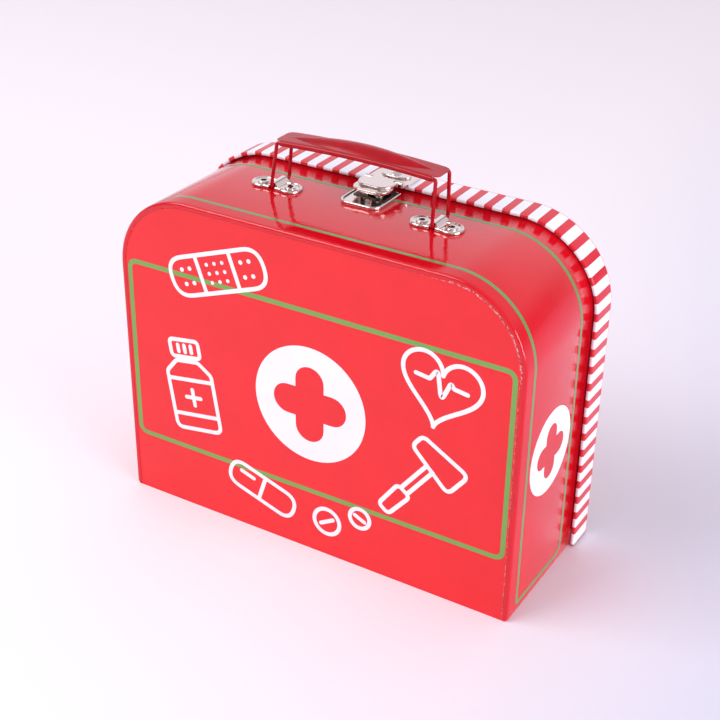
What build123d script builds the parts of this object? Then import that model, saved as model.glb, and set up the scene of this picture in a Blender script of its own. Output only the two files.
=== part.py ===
from build123d import *
import os

# A toy doctor case: a paperboard suitcase with a lid at the back, a snap latch and a wire-linked handle.
# Millimetres, +Z up. The origin is on the ground under the middle of the closed case, the front faces -Y
# and +X is to the right of somebody who faces the front.

# Case body.
BODY_WIDTH = 200.0
BODY_HEIGHT = 155.0
CASE_DEPTH = 79.0
CORNER_RADIUS = 36.6
FOOT_RADIUS = 1.8
BOARD = 1.5
PAPER = 0.25
LINING = 0.2
TURN_IN = 2.7
EDGE_FOLD = 0.5
BEAD_RADIUS = 0.95
BOARD_EDGE_RADIUS = 0.7
FRONT_Y = -CASE_DEPTH / 2
BOARD_FRONT_Y = FRONT_Y + EDGE_FOLD
BODY_BACK_Y = 37.0
WALL = PAPER + BOARD
LINED_WALL = WALL + LINING
BELOW = -12.0

# Lid: a back board inside a rim board, which runs outside the body's walls.
LID_BOTTOM = 0.55
LID_BACK_Y = CASE_DEPTH / 2
COVER_BACK_Y = LID_BACK_Y - PAPER
LID_BOARD_BACK_Y = COVER_BACK_Y - PAPER
LID_INNER_Y = LID_BOARD_BACK_Y - BOARD
LID_LINING_Y = LID_INNER_Y - LINING
RIM_FRONT_Y = 25.0
RIM_FOLD_Y = 33.0
RIM_CLEARANCE = 0.4
RIM_INNER = RIM_CLEARANCE + LINING
RIM_OUTER = RIM_INNER + BOARD
RIM_SKIN = RIM_OUTER + PAPER
RIM_BEAD_RADIUS = 0.8

# Cloth hinge under the back edge.
CLOTH_HALF_WIDTH = 98.0
CLOTH_FRONT_Y = 22.0
CLOTH_FOLD_Y = 39.1
CLOTH_TOP_Z = 15.0

# Latch: the base plate and the keeper stand on the body, the flap hangs on the lid.
PLATE_HALF_WIDTH = 10.1
PLATE_FRONT_Y = -2.0
PLATE_BACK_Y = 19.5
PLATE_THICKNESS = 0.7
PLATE_EDGE = 1.4
PLATE_EDGE_HEIGHT = 0.8
PLATE_FRONT_RADIUS = 4.8
PLATE_BACK_RADIUS = 1.6
PLATE_TOP_Z = BODY_HEIGHT + PLATE_THICKNESS
KEEPER_HALF_WIDTH = 7.6
KEEPER_FRONT_Y = 8.0
CHEEK_FRONT_Y = 14.2
KEEPER_BACK_Y = 18.0
KEEPER_SHEET = 0.8
KEEPER_FLOOR = 0.5
KEEPER_TOP_Z = BODY_HEIGHT + 4.7
LATCH_RIVET_X = 3.5
LATCH_RIVET_Y = 11.0
LATCH_RIVET_RADIUS = 1.2
LATCH_RIVET_HEAD = 2.0
BACKING_HALF_WIDTH = 8.0
BACKING_HALF_DEPTH = 6.0
BACKING_THICKNESS = 0.7

PIN_Y = 21.4
PIN_Z = BODY_HEIGHT + 4.0
PIN_RADIUS = 0.8
PIN_CLEARANCE = 0.05
PIN_HALF_LENGTH = 9.5
KNUCKLE_RADIUS = 1.6
HASP_HALF_WIDTH = 10.4
HASP_THICKNESS = 0.8
HASP_FRONT_Y = 24.0
HASP_BACK_Y = 36.2
HASP_CORNER_RADIUS = 2.5
HASP_Z = BODY_HEIGHT + RIM_SKIN
HASP_KNUCKLE_INNER_X = 5.9
HASP_KNUCKLE_OUTER_X = 9.2
BOSS_HALF_WIDTH = 7.3
BOSS_HALF_DEPTH = 3.9
BOSS_HEIGHT = 0.9
BOSS_ROUND = 0.4
HASP_RIVET_Y = 31.9
HASP_RIVET_HEAD = 2.8
HASP_RIVET_DOME = 1.2
HASP_RIVET_RADIUS = 1.4
HASP_RIVET_TAIL = 2.6
HASP_TAIL_DEPTH = 0.3

FLAP_HALF_WIDTH = 8.6
FLAP_FRONT_Y = 9.0
FLAP_BACK_Y = 18.0
FLAP_CORNER_RADIUS = 6.0
FLAP_TOP_Z = BODY_HEIGHT + 6.2
FLAP_EDGE_RADIUS = 0.6
FLAP_SHEET = 0.8
LIP_HALF_WIDTH = 8.8
LIP_FRONT_Y = 5.8
LIP_BACK_Y = 13.6
LIP_CORNER_RADIUS = 5.2
LIP_TOP_Z = BODY_HEIGHT + 5.0
LIP_BOTTOM_Z = BODY_HEIGHT + 3.8
LIP_SHEET = 0.7
LIP_EDGE_RADIUS = 0.5
FLAP_NECK_HALF = 5.6
FLAP_NECK_OVERLAP = 1.0
SPRING_HALF_WIDTH = 4.0
SPRING_SHEET = 0.4
SPRING_FRONT_Y = 10.0
SPRING_BACK_Y = 16.9
SPRING_TIP_Z = BODY_HEIGHT + 2.0

# Handle: two bent wire links in the grip's rolled edges, trapped under the clips' bridges. The clips sit
# left of the middle, so that each link has its own foot, and the grip bows up between its ends.
LEFT_FOOT_X = -41.2
RIGHT_FOOT_X = 38.2
LINK_TOP_X = 38.6
BAR_FRONT_Y = -5.5
BAR_BACK_Y = 8.5
ROLL_FRONT_Y = -4.5
ROLL_BACK_Y = 7.3
WIRE_RADIUS = 0.8
WIRE_BEND = 1.2
WIRE_PRONG = 18.0
BAR_Z = BODY_HEIGHT + 0.9
ROLL_Z = BODY_HEIGHT + 21.9
ROLL_BOW = 1.3
ROLL_RADIUS = 1.25
ROLL_BORE = 0.9
ROLL_HALF_LENGTH = 36.7
GRIP_SHEET = 0.25
GRIP_SEAT = 0.95
GRIP_STATIONS = ((0.0, 2.9), (16.0, 2.2), (26.0, 1.2), (32.0, 0.4), (39.6, 0.15))

CLIP_Y = -1.1
CLIP_LOBE_X = 7.0
CLIP_LOBE_RADIUS = 5.4
CLIP_WAIST_HALF = 4.2
CLIP_THICKNESS = 0.9
CLIP_EDGE = 1.2
CLIP_EDGE_HEIGHT = 0.6
BRIDGE_FRONT_Y = -4.3
BRIDGE_BACK_Y = 4.6
BRIDGE_BORE = 1.0
BRIDGE_CENTRE_Z = BODY_HEIGHT + 1.3
BRIDGE_TOP_Z = BODY_HEIGHT + 3.0
BRIDGE_TOP_HALF = 1.0
BRIDGE_FOOT_HALF = 2.8
CLIP_RIVET_RADIUS = 1.9
CLIP_RIVET_HEAD = 2.6
CLIP_RIVET_RISE = 0.7
CLIP_RIVET_ROUND = 0.5
CLIP_RIVET_BORE = 1.35
CLIP_RIVET_BORE_DEPTH = 2.0
WASHER_RADIUS = 4.5
WASHER_THICKNESS = 0.5
RIVET_TAIL_THICKNESS = 0.5
RIVET_TAIL_RADIUS = 2.2
HOLE_CLEARANCE = 0.05

INSIDE_TOP_Z = BODY_HEIGHT - LINED_WALL
CLIP_RIVET_PLACES = [
    (foot + lobe * CLIP_LOBE_X, CLIP_Y) for foot in (LEFT_FOOT_X, RIGHT_FOOT_X) for lobe in (-1, 1)
]
LATCH_RIVET_PLACES = [(side * LATCH_RIVET_X, LATCH_RIVET_Y) for side in (-1, 1)]


def block(x_low, x_high, y_low, y_high, z_low, z_high):
    """A box between six planes."""
    middle = Pos((x_low + x_high) / 2, (y_low + y_high) / 2, (z_low + z_high) / 2)
    return middle * Box(x_high - x_low, y_high - y_low, z_high - z_low)


def disc(x, y, z_low, z_high, radius):
    """A round bar that stands on end."""
    return Pos(x, y, (z_low + z_high) / 2) * Cylinder(radius, z_high - z_low)


def arch(inset, bottom, front, back, foot=0.0):
    """A slab with the case's outline, inset from the body's outer face (a negative inset is outside it).

    foot is the radius of its bottom corners, which are square without one.
    """
    half = BODY_WIDTH / 2 - inset
    top = BODY_HEIGHT - inset
    outline = Pos(0, (top + bottom) / 2) * Rectangle(2 * half, top - bottom)
    outline = fillet(outline.vertices().sort_by(Axis.Y)[-2:], CORNER_RADIUS - inset)
    if foot:
        outline = fillet(outline.vertices().sort_by(Axis.Y)[:2], foot)
    return Pos(0, back, 0) * extrude(Plane.XZ * outline, amount=back - front)


def rounded_front(slab, radius):
    """The slab with the edges of its front face rounded over."""
    return fillet(slab.faces().sort_by(Axis.Y)[0].edges(), radius)


def above(shape, bottom):
    """What is left of a shape above a level."""
    reach = 2 * BODY_WIDTH
    return shape & block(-reach, reach, -reach, reach, bottom, reach)


def drilled(shape, places, radius):
    """The shape with round holes for rivets that go through the case's top."""
    for x, y in places:
        shape -= disc(x, y, INSIDE_TOP_Z - RIM_SKIN, FLAP_TOP_Z, radius + HOLE_CLEARANCE)
    return shape


def through_top(shape):
    """The shape with the holes of the clip rivets and the latch rivets."""
    shape = drilled(shape, CLIP_RIVET_PLACES, CLIP_RIVET_RADIUS)
    return drilled(shape, LATCH_RIVET_PLACES, LATCH_RIVET_RADIUS)


def wall_core():
    """The solid inside the wall paper, with its front edge eased as the board's is."""
    slab = arch(PAPER, PAPER, BOARD_FRONT_Y, BODY_BACK_Y - PAPER, foot=FOOT_RADIUS - PAPER)
    return rounded_front(slab, BOARD_EDGE_RADIUS)


def front_board():
    return arch(WALL, WALL, BOARD_FRONT_Y, BOARD_FRONT_Y + BOARD)


def wall_board():
    return through_top(wall_core() - arch(WALL, BELOW, FRONT_Y, CASE_DEPTH))


def bottom_board():
    """The floor, between the wall board's two ends, with its front edge eased as the wall's is."""
    half = BODY_WIDTH / 2 - WALL
    return wall_core() & block(-half, half, FRONT_Y, CASE_DEPTH, BELOW, WALL)


def wall_paper():
    """Cover of the sides and top, folded over the front edge and turned in over the back edge."""
    skin = rounded_front(arch(0, 0, FRONT_Y, BODY_BACK_Y, foot=FOOT_RADIUS), BEAD_RADIUS)
    skin -= wall_core()
    skin -= arch(TURN_IN, BELOW, 2 * FRONT_Y, 0)
    skin -= arch(LINED_WALL, BELOW, 0, CASE_DEPTH)
    return through_top(above(skin, PAPER))


def bottom_paper():
    """Cover of the bottom, from the front print's foot back to the hinge cloth.

    Its sides stop halfway round the foot, where they meet the wall paper's end.
    """
    half = BODY_WIDTH / 2 - FOOT_RADIUS / 2
    sheet = block(-half, half, BOARD_FRONT_Y - PAPER, CLOTH_FRONT_Y, 0, PAPER)
    return fillet(sheet.edges().filter_by(Axis.Z).group_by(Axis.Y)[0], BEAD_RADIUS)


def front_print():
    """Printed sheet on the front board, set in from the folded edge and carried down to the foot."""
    return arch(TURN_IN, PAPER, BOARD_FRONT_Y - PAPER, BOARD_FRONT_Y)


def front_lining():
    inner = BOARD_FRONT_Y + BOARD
    return arch(WALL, WALL, inner, inner + LINING)


def wall_lining():
    """Lining of the walls and the floor, one strip that runs right round."""
    front = BOARD_FRONT_Y + BOARD + LINING
    back = BODY_BACK_Y - PAPER
    strip = arch(WALL, WALL, front, back) - arch(LINED_WALL, LINED_WALL, FRONT_Y, CASE_DEPTH)
    return through_top(strip)


def hinge_cloth_body_leaf():
    return block(-CLOTH_HALF_WIDTH, CLOTH_HALF_WIDTH, CLOTH_FRONT_Y, CLOTH_FOLD_Y, 0, PAPER)


def hinge_cloth_lid_leaf():
    return block(-CLOTH_HALF_WIDTH, CLOTH_HALF_WIDTH, COVER_BACK_Y, LID_BACK_Y, LID_BOTTOM, CLOTH_TOP_Z)


def lid_board():
    return arch(-RIM_INNER, LID_BOTTOM, LID_INNER_Y, LID_BOARD_BACK_Y)


def rim_core():
    """The solid inside the striped paper, with its front edge eased."""
    slab = arch(-RIM_OUTER, BELOW / 2, RIM_FRONT_Y + PAPER, LID_BOARD_BACK_Y)
    return rounded_front(slab, RIM_BEAD_RADIUS - PAPER)


def hasp_hole():
    """The hasp rivet's hole through the rim, with the seat of its flattened tail."""
    low = BODY_HEIGHT + RIM_CLEARANCE
    seat = BODY_HEIGHT + RIM_INNER + HASP_TAIL_DEPTH
    shank = disc(0, HASP_RIVET_Y, low, FLAP_TOP_Z, HASP_RIVET_RADIUS + HOLE_CLEARANCE)
    return shank + disc(0, HASP_RIVET_Y, BODY_HEIGHT + RIM_INNER, seat, HASP_RIVET_TAIL + HOLE_CLEARANCE)


def rim_board():
    band = rim_core() - arch(-RIM_INNER, BELOW, 0, CASE_DEPTH)
    return above(band, LID_BOTTOM) - hasp_hole()


def rim_paper():
    """Striped cover of the rim, folded over its front edge and back along its inner face."""
    skin = rounded_front(arch(-RIM_SKIN, BELOW / 2, RIM_FRONT_Y, LID_BOARD_BACK_Y), RIM_BEAD_RADIUS)
    skin -= rim_core() - arch(-RIM_INNER, BELOW, 0, RIM_FOLD_Y)
    skin -= arch(-RIM_CLEARANCE, BELOW, 0, CASE_DEPTH)
    hole = disc(0, HASP_RIVET_Y, BODY_HEIGHT + RIM_OUTER, FLAP_TOP_Z, HASP_RIVET_RADIUS + HOLE_CLEARANCE)
    return above(skin, LID_BOTTOM) - hole


def lid_cover_paper():
    return arch(-RIM_SKIN, LID_BOTTOM, LID_BOARD_BACK_Y, COVER_BACK_Y)


def lid_lining():
    """Sheet on the lid's inner face, turned forward onto the rim to meet the striped paper."""
    sheet = arch(-RIM_INNER, LID_BOTTOM, LID_LINING_Y, LID_INNER_Y)
    upstand = arch(-RIM_INNER, LID_BOTTOM, RIM_FOLD_Y, LID_INNER_Y)
    upstand -= arch(-RIM_CLEARANCE, BELOW, 0, CASE_DEPTH)
    return sheet + upstand


def latch_base_plate():
    """Tray-like plate with a raised edge, large round corners in front and small ones behind."""
    outline = block(-PLATE_HALF_WIDTH, PLATE_HALF_WIDTH, PLATE_FRONT_Y, PLATE_BACK_Y,
                    BODY_HEIGHT, PLATE_TOP_Z + PLATE_EDGE_HEIGHT)
    corners = outline.edges().filter_by(Axis.Z).group_by(Axis.Y)
    outline = fillet(corners[0], PLATE_FRONT_RADIUS)
    corners = outline.edges().filter_by(Axis.Z).group_by(Axis.Y)
    outline = fillet(corners[-1], PLATE_BACK_RADIUS)
    dish = block(-PLATE_HALF_WIDTH + PLATE_EDGE, PLATE_HALF_WIDTH - PLATE_EDGE,
                 PLATE_FRONT_Y + PLATE_EDGE, PLATE_BACK_Y - PLATE_EDGE, PLATE_TOP_Z, FLAP_TOP_Z)
    dish = fillet(dish.edges().filter_by(Axis.Z).group_by(Axis.Y)[0], PLATE_FRONT_RADIUS - PLATE_EDGE)
    return drilled(outline - dish, LATCH_RIVET_PLACES, LATCH_RIVET_RADIUS)


def latch_keeper():
    """Floor with two short cheeks and a back, open in front and on top."""
    inner = KEEPER_HALF_WIDTH - KEEPER_SHEET
    floor_top = PLATE_TOP_Z + KEEPER_FLOOR
    box = block(-KEEPER_HALF_WIDTH, KEEPER_HALF_WIDTH, CHEEK_FRONT_Y, KEEPER_BACK_Y, PLATE_TOP_Z, KEEPER_TOP_Z)
    box -= block(-inner, inner, FRONT_Y, KEEPER_BACK_Y - KEEPER_SHEET, floor_top, FLAP_TOP_Z)
    box += block(-KEEPER_HALF_WIDTH, KEEPER_HALF_WIDTH, KEEPER_FRONT_Y, CHEEK_FRONT_Y, PLATE_TOP_Z, floor_top)
    return drilled(box, LATCH_RIVET_PLACES, LATCH_RIVET_RADIUS)


def latch_rivets():
    seat = PLATE_TOP_Z + KEEPER_FLOOR
    end = INSIDE_TOP_Z - BACKING_THICKNESS
    rivets = []
    for x, y in LATCH_RIVET_PLACES:
        head = disc(x, y, seat, seat + FLAP_SHEET, LATCH_RIVET_HEAD)
        head = fillet(head.edges().group_by(Axis.Z)[-1], FLAP_SHEET / 2)
        tail = disc(x, y, end - RIVET_TAIL_THICKNESS, end, RIVET_TAIL_RADIUS)
        rivets.append(head + disc(x, y, end, seat, LATCH_RIVET_RADIUS) + tail)
    return Compound(children=rivets)


def latch_backing_plate():
    plate = block(-BACKING_HALF_WIDTH, BACKING_HALF_WIDTH,
                  LATCH_RIVET_Y - BACKING_HALF_DEPTH, LATCH_RIVET_Y + BACKING_HALF_DEPTH,
                  INSIDE_TOP_Z - BACKING_THICKNESS, INSIDE_TOP_Z)
    plate = fillet(plate.edges().filter_by(Axis.Z), PLATE_BACK_RADIUS)
    return drilled(plate, LATCH_RIVET_PLACES, LATCH_RIVET_RADIUS)


def knuckle(x_low, x_high, bore):
    """A rolled hinge eye round the latch pin."""
    place = Pos((x_low + x_high) / 2, PIN_Y, PIN_Z) * Rot(0, 90, 0)
    return place * (Cylinder(KNUCKLE_RADIUS, x_high - x_low) - Cylinder(bore, x_high - x_low))


def pin_way(bore):
    """The clear way along the latch pin."""
    return Pos(0, PIN_Y, PIN_Z) * Rot(0, 90, 0) * Cylinder(bore, 4 * HASP_HALF_WIDTH)


def hasp_plate():
    """Plate on the lid's rim with an oval boss, and two knuckles over the gap in front of the rim."""
    top = HASP_Z + HASP_THICKNESS
    plate = block(-HASP_HALF_WIDTH, HASP_HALF_WIDTH, HASP_FRONT_Y, HASP_BACK_Y, HASP_Z, top)
    plate = fillet(plate.edges().filter_by(Axis.Z), HASP_CORNER_RADIUS)
    boss = Pos(0, HASP_RIVET_Y, HASP_Z) * extrude(Ellipse(BOSS_HALF_WIDTH, BOSS_HALF_DEPTH),
                                                 amount=HASP_THICKNESS + BOSS_HEIGHT)
    plate += fillet(boss.edges().group_by(Axis.Z)[-1], BOSS_ROUND)
    for side in (-1, 1):
        ends = sorted((side * HASP_KNUCKLE_INNER_X, side * HASP_KNUCKLE_OUTER_X))
        plate += block(*ends, PIN_Y, HASP_FRONT_Y + 2 * HASP_CORNER_RADIUS, HASP_Z, top)
        plate += knuckle(*ends, PIN_RADIUS)
    return plate - pin_way(PIN_RADIUS) - hasp_hole()


def hasp_rivet():
    """Domed rivet on the boss, its tail flattened into the rim board."""
    seat = HASP_Z + HASP_THICKNESS + BOSS_HEIGHT
    low = BODY_HEIGHT + RIM_INNER
    ball = (HASP_RIVET_HEAD**2 + HASP_RIVET_DOME**2) / (2 * HASP_RIVET_DOME)
    dome = Pos(0, HASP_RIVET_Y, seat + HASP_RIVET_DOME - ball) * Sphere(ball)
    dome &= disc(0, HASP_RIVET_Y, seat, seat + HASP_RIVET_DOME, HASP_RIVET_HEAD)
    shank = disc(0, HASP_RIVET_Y, low, seat, HASP_RIVET_RADIUS)
    return dome + shank + disc(0, HASP_RIVET_Y, low, low + HASP_TAIL_DEPTH, HASP_RIVET_TAIL)


def hasp_pin():
    return Pos(0, PIN_Y, PIN_Z) * Rot(0, 90, 0) * Cylinder(PIN_RADIUS, 2 * PIN_HALF_LENGTH)


def cap(half, front, back, radius, bottom, top):
    """A block with round corners in front."""
    form = block(-half, half, front, back, bottom, top)
    return fillet(form.edges().filter_by(Axis.Z).group_by(Axis.Y)[0], radius)


def latch_flap():
    """Pressed cap whose nose steps down to a lip over the base plate, on a neck and a knuckle."""
    lip = cap(LIP_HALF_WIDTH, LIP_FRONT_Y, LIP_BACK_Y, LIP_CORNER_RADIUS, LIP_BOTTOM_Z, LIP_TOP_Z)
    lip = fillet(lip.faces().sort_by(Axis.Z)[-1].edges(), LIP_EDGE_RADIUS)
    crown = cap(FLAP_HALF_WIDTH, FLAP_FRONT_Y, FLAP_BACK_Y, FLAP_CORNER_RADIUS,
                LIP_TOP_Z - LIP_EDGE_RADIUS, FLAP_TOP_Z)
    crown = fillet(crown.faces().sort_by(Axis.Z)[-1].edges(), FLAP_EDGE_RADIUS)
    shell = lip + crown
    shell -= cap(LIP_HALF_WIDTH - FLAP_SHEET, LIP_FRONT_Y + FLAP_SHEET, PIN_Y,
                 LIP_CORNER_RADIUS - FLAP_SHEET, BODY_HEIGHT, LIP_TOP_Z - LIP_SHEET)
    shell -= cap(FLAP_HALF_WIDTH - FLAP_SHEET, FLAP_FRONT_Y + FLAP_SHEET, PIN_Y,
                 FLAP_CORNER_RADIUS - FLAP_SHEET, BODY_HEIGHT, FLAP_TOP_Z - FLAP_SHEET)
    neck_top = PIN_Z + KNUCKLE_RADIUS
    neck = block(-FLAP_NECK_HALF, FLAP_NECK_HALF, FLAP_BACK_Y - FLAP_NECK_OVERLAP, PIN_Y,
                 neck_top - FLAP_SHEET, neck_top)
    eye = knuckle(-FLAP_NECK_HALF, FLAP_NECK_HALF, PIN_RADIUS + PIN_CLEARANCE)
    return (shell + neck + eye) - pin_way(PIN_RADIUS + PIN_CLEARANCE)


def catch_spring():
    """Leaf under the cap whose tongue springs against the keeper's back."""
    root_z = FLAP_TOP_Z - FLAP_SHEET
    leaf = block(-SPRING_HALF_WIDTH, SPRING_HALF_WIDTH, SPRING_FRONT_Y, SPRING_BACK_Y,
                 root_z - SPRING_SHEET, root_z)
    return leaf + block(-SPRING_HALF_WIDTH, SPRING_HALF_WIDTH, SPRING_BACK_Y - SPRING_SHEET, SPRING_BACK_Y,
                        SPRING_TIP_Z, root_z)


def handle_clip(centre_x):
    """Figure-of-eight plate with raised edges, whose folded bridge holds the wire link's bar."""
    top = BODY_HEIGHT + CLIP_THICKNESS
    lobes = [(centre_x + side * CLIP_LOBE_X, CLIP_Y) for side in (-1, 1)]
    plate = block(centre_x - CLIP_LOBE_X, centre_x + CLIP_LOBE_X,
                  CLIP_Y - CLIP_WAIST_HALF, CLIP_Y + CLIP_WAIST_HALF, BODY_HEIGHT, top)
    for x, y in lobes:
        plate += disc(x, y, BODY_HEIGHT, top + CLIP_EDGE_HEIGHT, CLIP_LOBE_RADIUS)
    for x, y in lobes:
        plate -= disc(x, y, top, FLAP_TOP_Z, CLIP_LOBE_RADIUS - CLIP_EDGE)
    fold = make_face(Polyline(
        (centre_x - BRIDGE_FOOT_HALF, BODY_HEIGHT), (centre_x - BRIDGE_FOOT_HALF, top),
        (centre_x - BRIDGE_TOP_HALF, BRIDGE_TOP_Z), (centre_x + BRIDGE_TOP_HALF, BRIDGE_TOP_Z),
        (centre_x + BRIDGE_FOOT_HALF, top), (centre_x + BRIDGE_FOOT_HALF, BODY_HEIGHT), close=True))
    plate += Pos(0, BRIDGE_BACK_Y, 0) * extrude(Plane.XZ * fold, amount=BRIDGE_BACK_Y - BRIDGE_FRONT_Y)
    tunnel = Pos(centre_x, CLIP_Y, BRIDGE_CENTRE_Z) * Rot(90, 0, 0) * Cylinder(BRIDGE_BORE, 4 * CLIP_LOBE_RADIUS)
    tunnel += block(centre_x - BRIDGE_BORE, centre_x + BRIDGE_BORE, CLIP_Y - 2 * CLIP_LOBE_RADIUS,
                    CLIP_Y + 2 * CLIP_LOBE_RADIUS, BODY_HEIGHT - CLIP_THICKNESS, BRIDGE_CENTRE_Z)
    return drilled(plate - tunnel, lobes, CLIP_RIVET_RADIUS)


def clip_rivets():
    """Four tubular rivets, each head a ring round a blind bore."""
    seat = BODY_HEIGHT + CLIP_THICKNESS
    end = INSIDE_TOP_Z - WASHER_THICKNESS
    rivets = []
    for x, y in CLIP_RIVET_PLACES:
        head = disc(x, y, seat, seat + CLIP_RIVET_RISE, CLIP_RIVET_HEAD)
        head = fillet(head.edges().group_by(Axis.Z)[-1], CLIP_RIVET_ROUND)
        rivet = head + disc(x, y, end, seat, CLIP_RIVET_RADIUS)
        rivet += disc(x, y, end - RIVET_TAIL_THICKNESS, end, RIVET_TAIL_RADIUS)
        bore_floor = seat + CLIP_RIVET_RISE - CLIP_RIVET_BORE_DEPTH
        rivets.append(rivet - disc(x, y, bore_floor, FLAP_TOP_Z, CLIP_RIVET_BORE))
    return Compound(children=rivets)


def clip_washers():
    washers = []
    for x, y in CLIP_RIVET_PLACES:
        washer = disc(x, y, INSIDE_TOP_Z - WASHER_THICKNESS, INSIDE_TOP_Z, WASHER_RADIUS)
        washers.append(drilled(washer, [(x, y)], CLIP_RIVET_RADIUS))
    return Compound(children=washers)


def roll_height(x):
    """Height of the middle of the grip's rolled edges, which bow up between its ends."""
    return ROLL_Z + ROLL_BOW * (1 - (x / ROLL_HALF_LENGTH) ** 2)


def handle_wire(side, foot):
    """One bent wire: prong, leg, bar under the bridge, leg and prong."""
    corner = side * LINK_TOP_X
    prong = side * (LINK_TOP_X - WIRE_PRONG)
    route = FilletPolyline(
        (prong, ROLL_FRONT_Y, roll_height(prong)), (corner, ROLL_FRONT_Y, roll_height(corner)),
        (foot, BAR_FRONT_Y, BAR_Z), (foot, BAR_BACK_Y, BAR_Z),
        (corner, ROLL_BACK_Y, roll_height(corner)), (prong, ROLL_BACK_Y, roll_height(prong)),
        radius=WIRE_BEND)
    section = Plane(origin=route @ 0, z_dir=route % 0) * Circle(WIRE_RADIUS)
    return sweep(section, path=route)


def grip_section(x, rise):
    """The grip sheet's cross-section: a shallow arch that ends inside the walls of the rolled edges."""
    lower = roll_height(x) + GRIP_SEAT
    edge = lower + GRIP_SHEET
    middle = (ROLL_FRONT_Y + ROLL_BACK_Y) / 2
    crown = ThreePointArc((x, ROLL_FRONT_Y, edge), (x, middle, edge + rise), (x, ROLL_BACK_Y, edge))
    belly = ThreePointArc((x, ROLL_BACK_Y, lower), (x, middle, lower + rise), (x, ROLL_FRONT_Y, lower))
    back = Line((x, ROLL_BACK_Y, edge), (x, ROLL_BACK_Y, lower))
    front = Line((x, ROLL_FRONT_Y, lower), (x, ROLL_FRONT_Y, edge))
    return Face(Wire([crown, back, belly, front]))


def bowed_bar(y, radius, half_length):
    """A round bar that follows the grip's bow."""
    path = ThreePointArc((-half_length, y, roll_height(half_length)), (0, y, roll_height(0)),
                         (half_length, y, roll_height(half_length)))
    return sweep(Plane(origin=path @ 0, z_dir=path % 0) * Circle(radius), path=path)


def handle_grip():
    """Pressed sheet with a crown in the middle, flat ends and an edge rolled round each wire prong."""
    right = [grip_section(x, rise) for x, rise in GRIP_STATIONS]
    left = [grip_section(-x, rise) for x, rise in reversed(GRIP_STATIONS[1:])]
    grip = loft(left + right)
    for y in (ROLL_FRONT_Y, ROLL_BACK_Y):
        grip += bowed_bar(y, ROLL_RADIUS, ROLL_HALF_LENGTH)
    for y in (ROLL_FRONT_Y, ROLL_BACK_Y):
        grip -= bowed_bar(y, ROLL_BORE, ROLL_HALF_LENGTH + ROLL_RADIUS)
    return grip


PARTS = {
    "front_board": front_board(),
    "wall_board": wall_board(),
    "bottom_board": bottom_board(),
    "wall_paper": wall_paper(),
    "bottom_paper": bottom_paper(),
    "front_print": front_print(),
    "front_lining": front_lining(),
    "wall_lining": wall_lining(),
    "hinge_cloth_body_leaf": hinge_cloth_body_leaf(),
    "latch_base_plate": latch_base_plate(),
    "latch_keeper": latch_keeper(),
    "latch_rivets": latch_rivets(),
    "latch_backing_plate": latch_backing_plate(),
    "handle_clip_left": handle_clip(LEFT_FOOT_X),
    "handle_clip_right": handle_clip(RIGHT_FOOT_X),
    "clip_rivets": clip_rivets(),
    "clip_washers": clip_washers(),
    "lid_board": lid_board(),
    "rim_board": rim_board(),
    "rim_paper": rim_paper(),
    "lid_cover_paper": lid_cover_paper(),
    "lid_lining": lid_lining(),
    "hinge_cloth_lid_leaf": hinge_cloth_lid_leaf(),
    "hasp_plate": hasp_plate(),
    "hasp_rivet": hasp_rivet(),
    "hasp_pin": hasp_pin(),
    "latch_flap": latch_flap(),
    "catch_spring": catch_spring(),
    "handle_grip": handle_grip(),
    "handle_wire_left": handle_wire(-1, LEFT_FOOT_X),
    "handle_wire_right": handle_wire(1, RIGHT_FOOT_X),
}

os.makedirs("parts", exist_ok=True)
for name, shape in PARTS.items():
    export_step(shape, f"parts/{name}.step")
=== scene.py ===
"""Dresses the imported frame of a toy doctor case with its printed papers, metal fittings and studio."""

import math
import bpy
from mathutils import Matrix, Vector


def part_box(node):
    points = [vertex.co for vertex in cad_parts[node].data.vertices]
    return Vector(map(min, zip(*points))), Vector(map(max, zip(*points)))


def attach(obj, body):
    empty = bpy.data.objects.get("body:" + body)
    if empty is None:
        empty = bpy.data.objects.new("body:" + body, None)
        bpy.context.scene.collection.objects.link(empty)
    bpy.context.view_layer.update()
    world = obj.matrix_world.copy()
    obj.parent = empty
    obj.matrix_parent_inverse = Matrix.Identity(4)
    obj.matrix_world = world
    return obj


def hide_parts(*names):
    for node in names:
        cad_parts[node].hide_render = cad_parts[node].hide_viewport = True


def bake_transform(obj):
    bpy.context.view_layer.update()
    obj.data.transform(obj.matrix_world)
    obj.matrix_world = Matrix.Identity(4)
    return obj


bl_info = {
    "name": "Toy Doctor Case",
    "version": (1, 0, 0),
    "blender": (4, 5, 0),
    "location": "View3D > Sidebar > Doctor Case",
    "description": "Papers, printed figures, enamel, nickel and studio for a paperboard play case",
    "category": "Object",
}

import bmesh
import bpy
from mathutils import Matrix, Vector

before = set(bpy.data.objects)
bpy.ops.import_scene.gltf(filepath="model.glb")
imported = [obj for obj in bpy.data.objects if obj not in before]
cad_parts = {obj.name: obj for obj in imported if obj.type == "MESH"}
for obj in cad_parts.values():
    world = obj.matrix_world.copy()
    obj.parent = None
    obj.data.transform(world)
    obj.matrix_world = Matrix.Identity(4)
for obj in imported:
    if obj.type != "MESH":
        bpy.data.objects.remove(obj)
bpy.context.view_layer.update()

MM = 0.001

# The body's outline seen from the front, as in the part's source.
HALF_WIDTH = 100.0 * MM
HEIGHT = 155.0 * MM
CORNER_RADIUS = 36.6 * MM
FOOT_RADIUS = 1.8 * MM
PAPER = 0.25 * MM

# Depths, from the front at -Y to the back.
FRONT_Y = -39.5 * MM
PRINT_Y = -39.25 * MM
BOARD_FRONT_Y = -39.0 * MM
BODY_BACK_Y = 37.0 * MM
RIM_FRONT_Y = 25.0 * MM
RIM_FOLD_Y = 33.0 * MM
LID_BOARD_BACK_Y = 39.0 * MM

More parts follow.
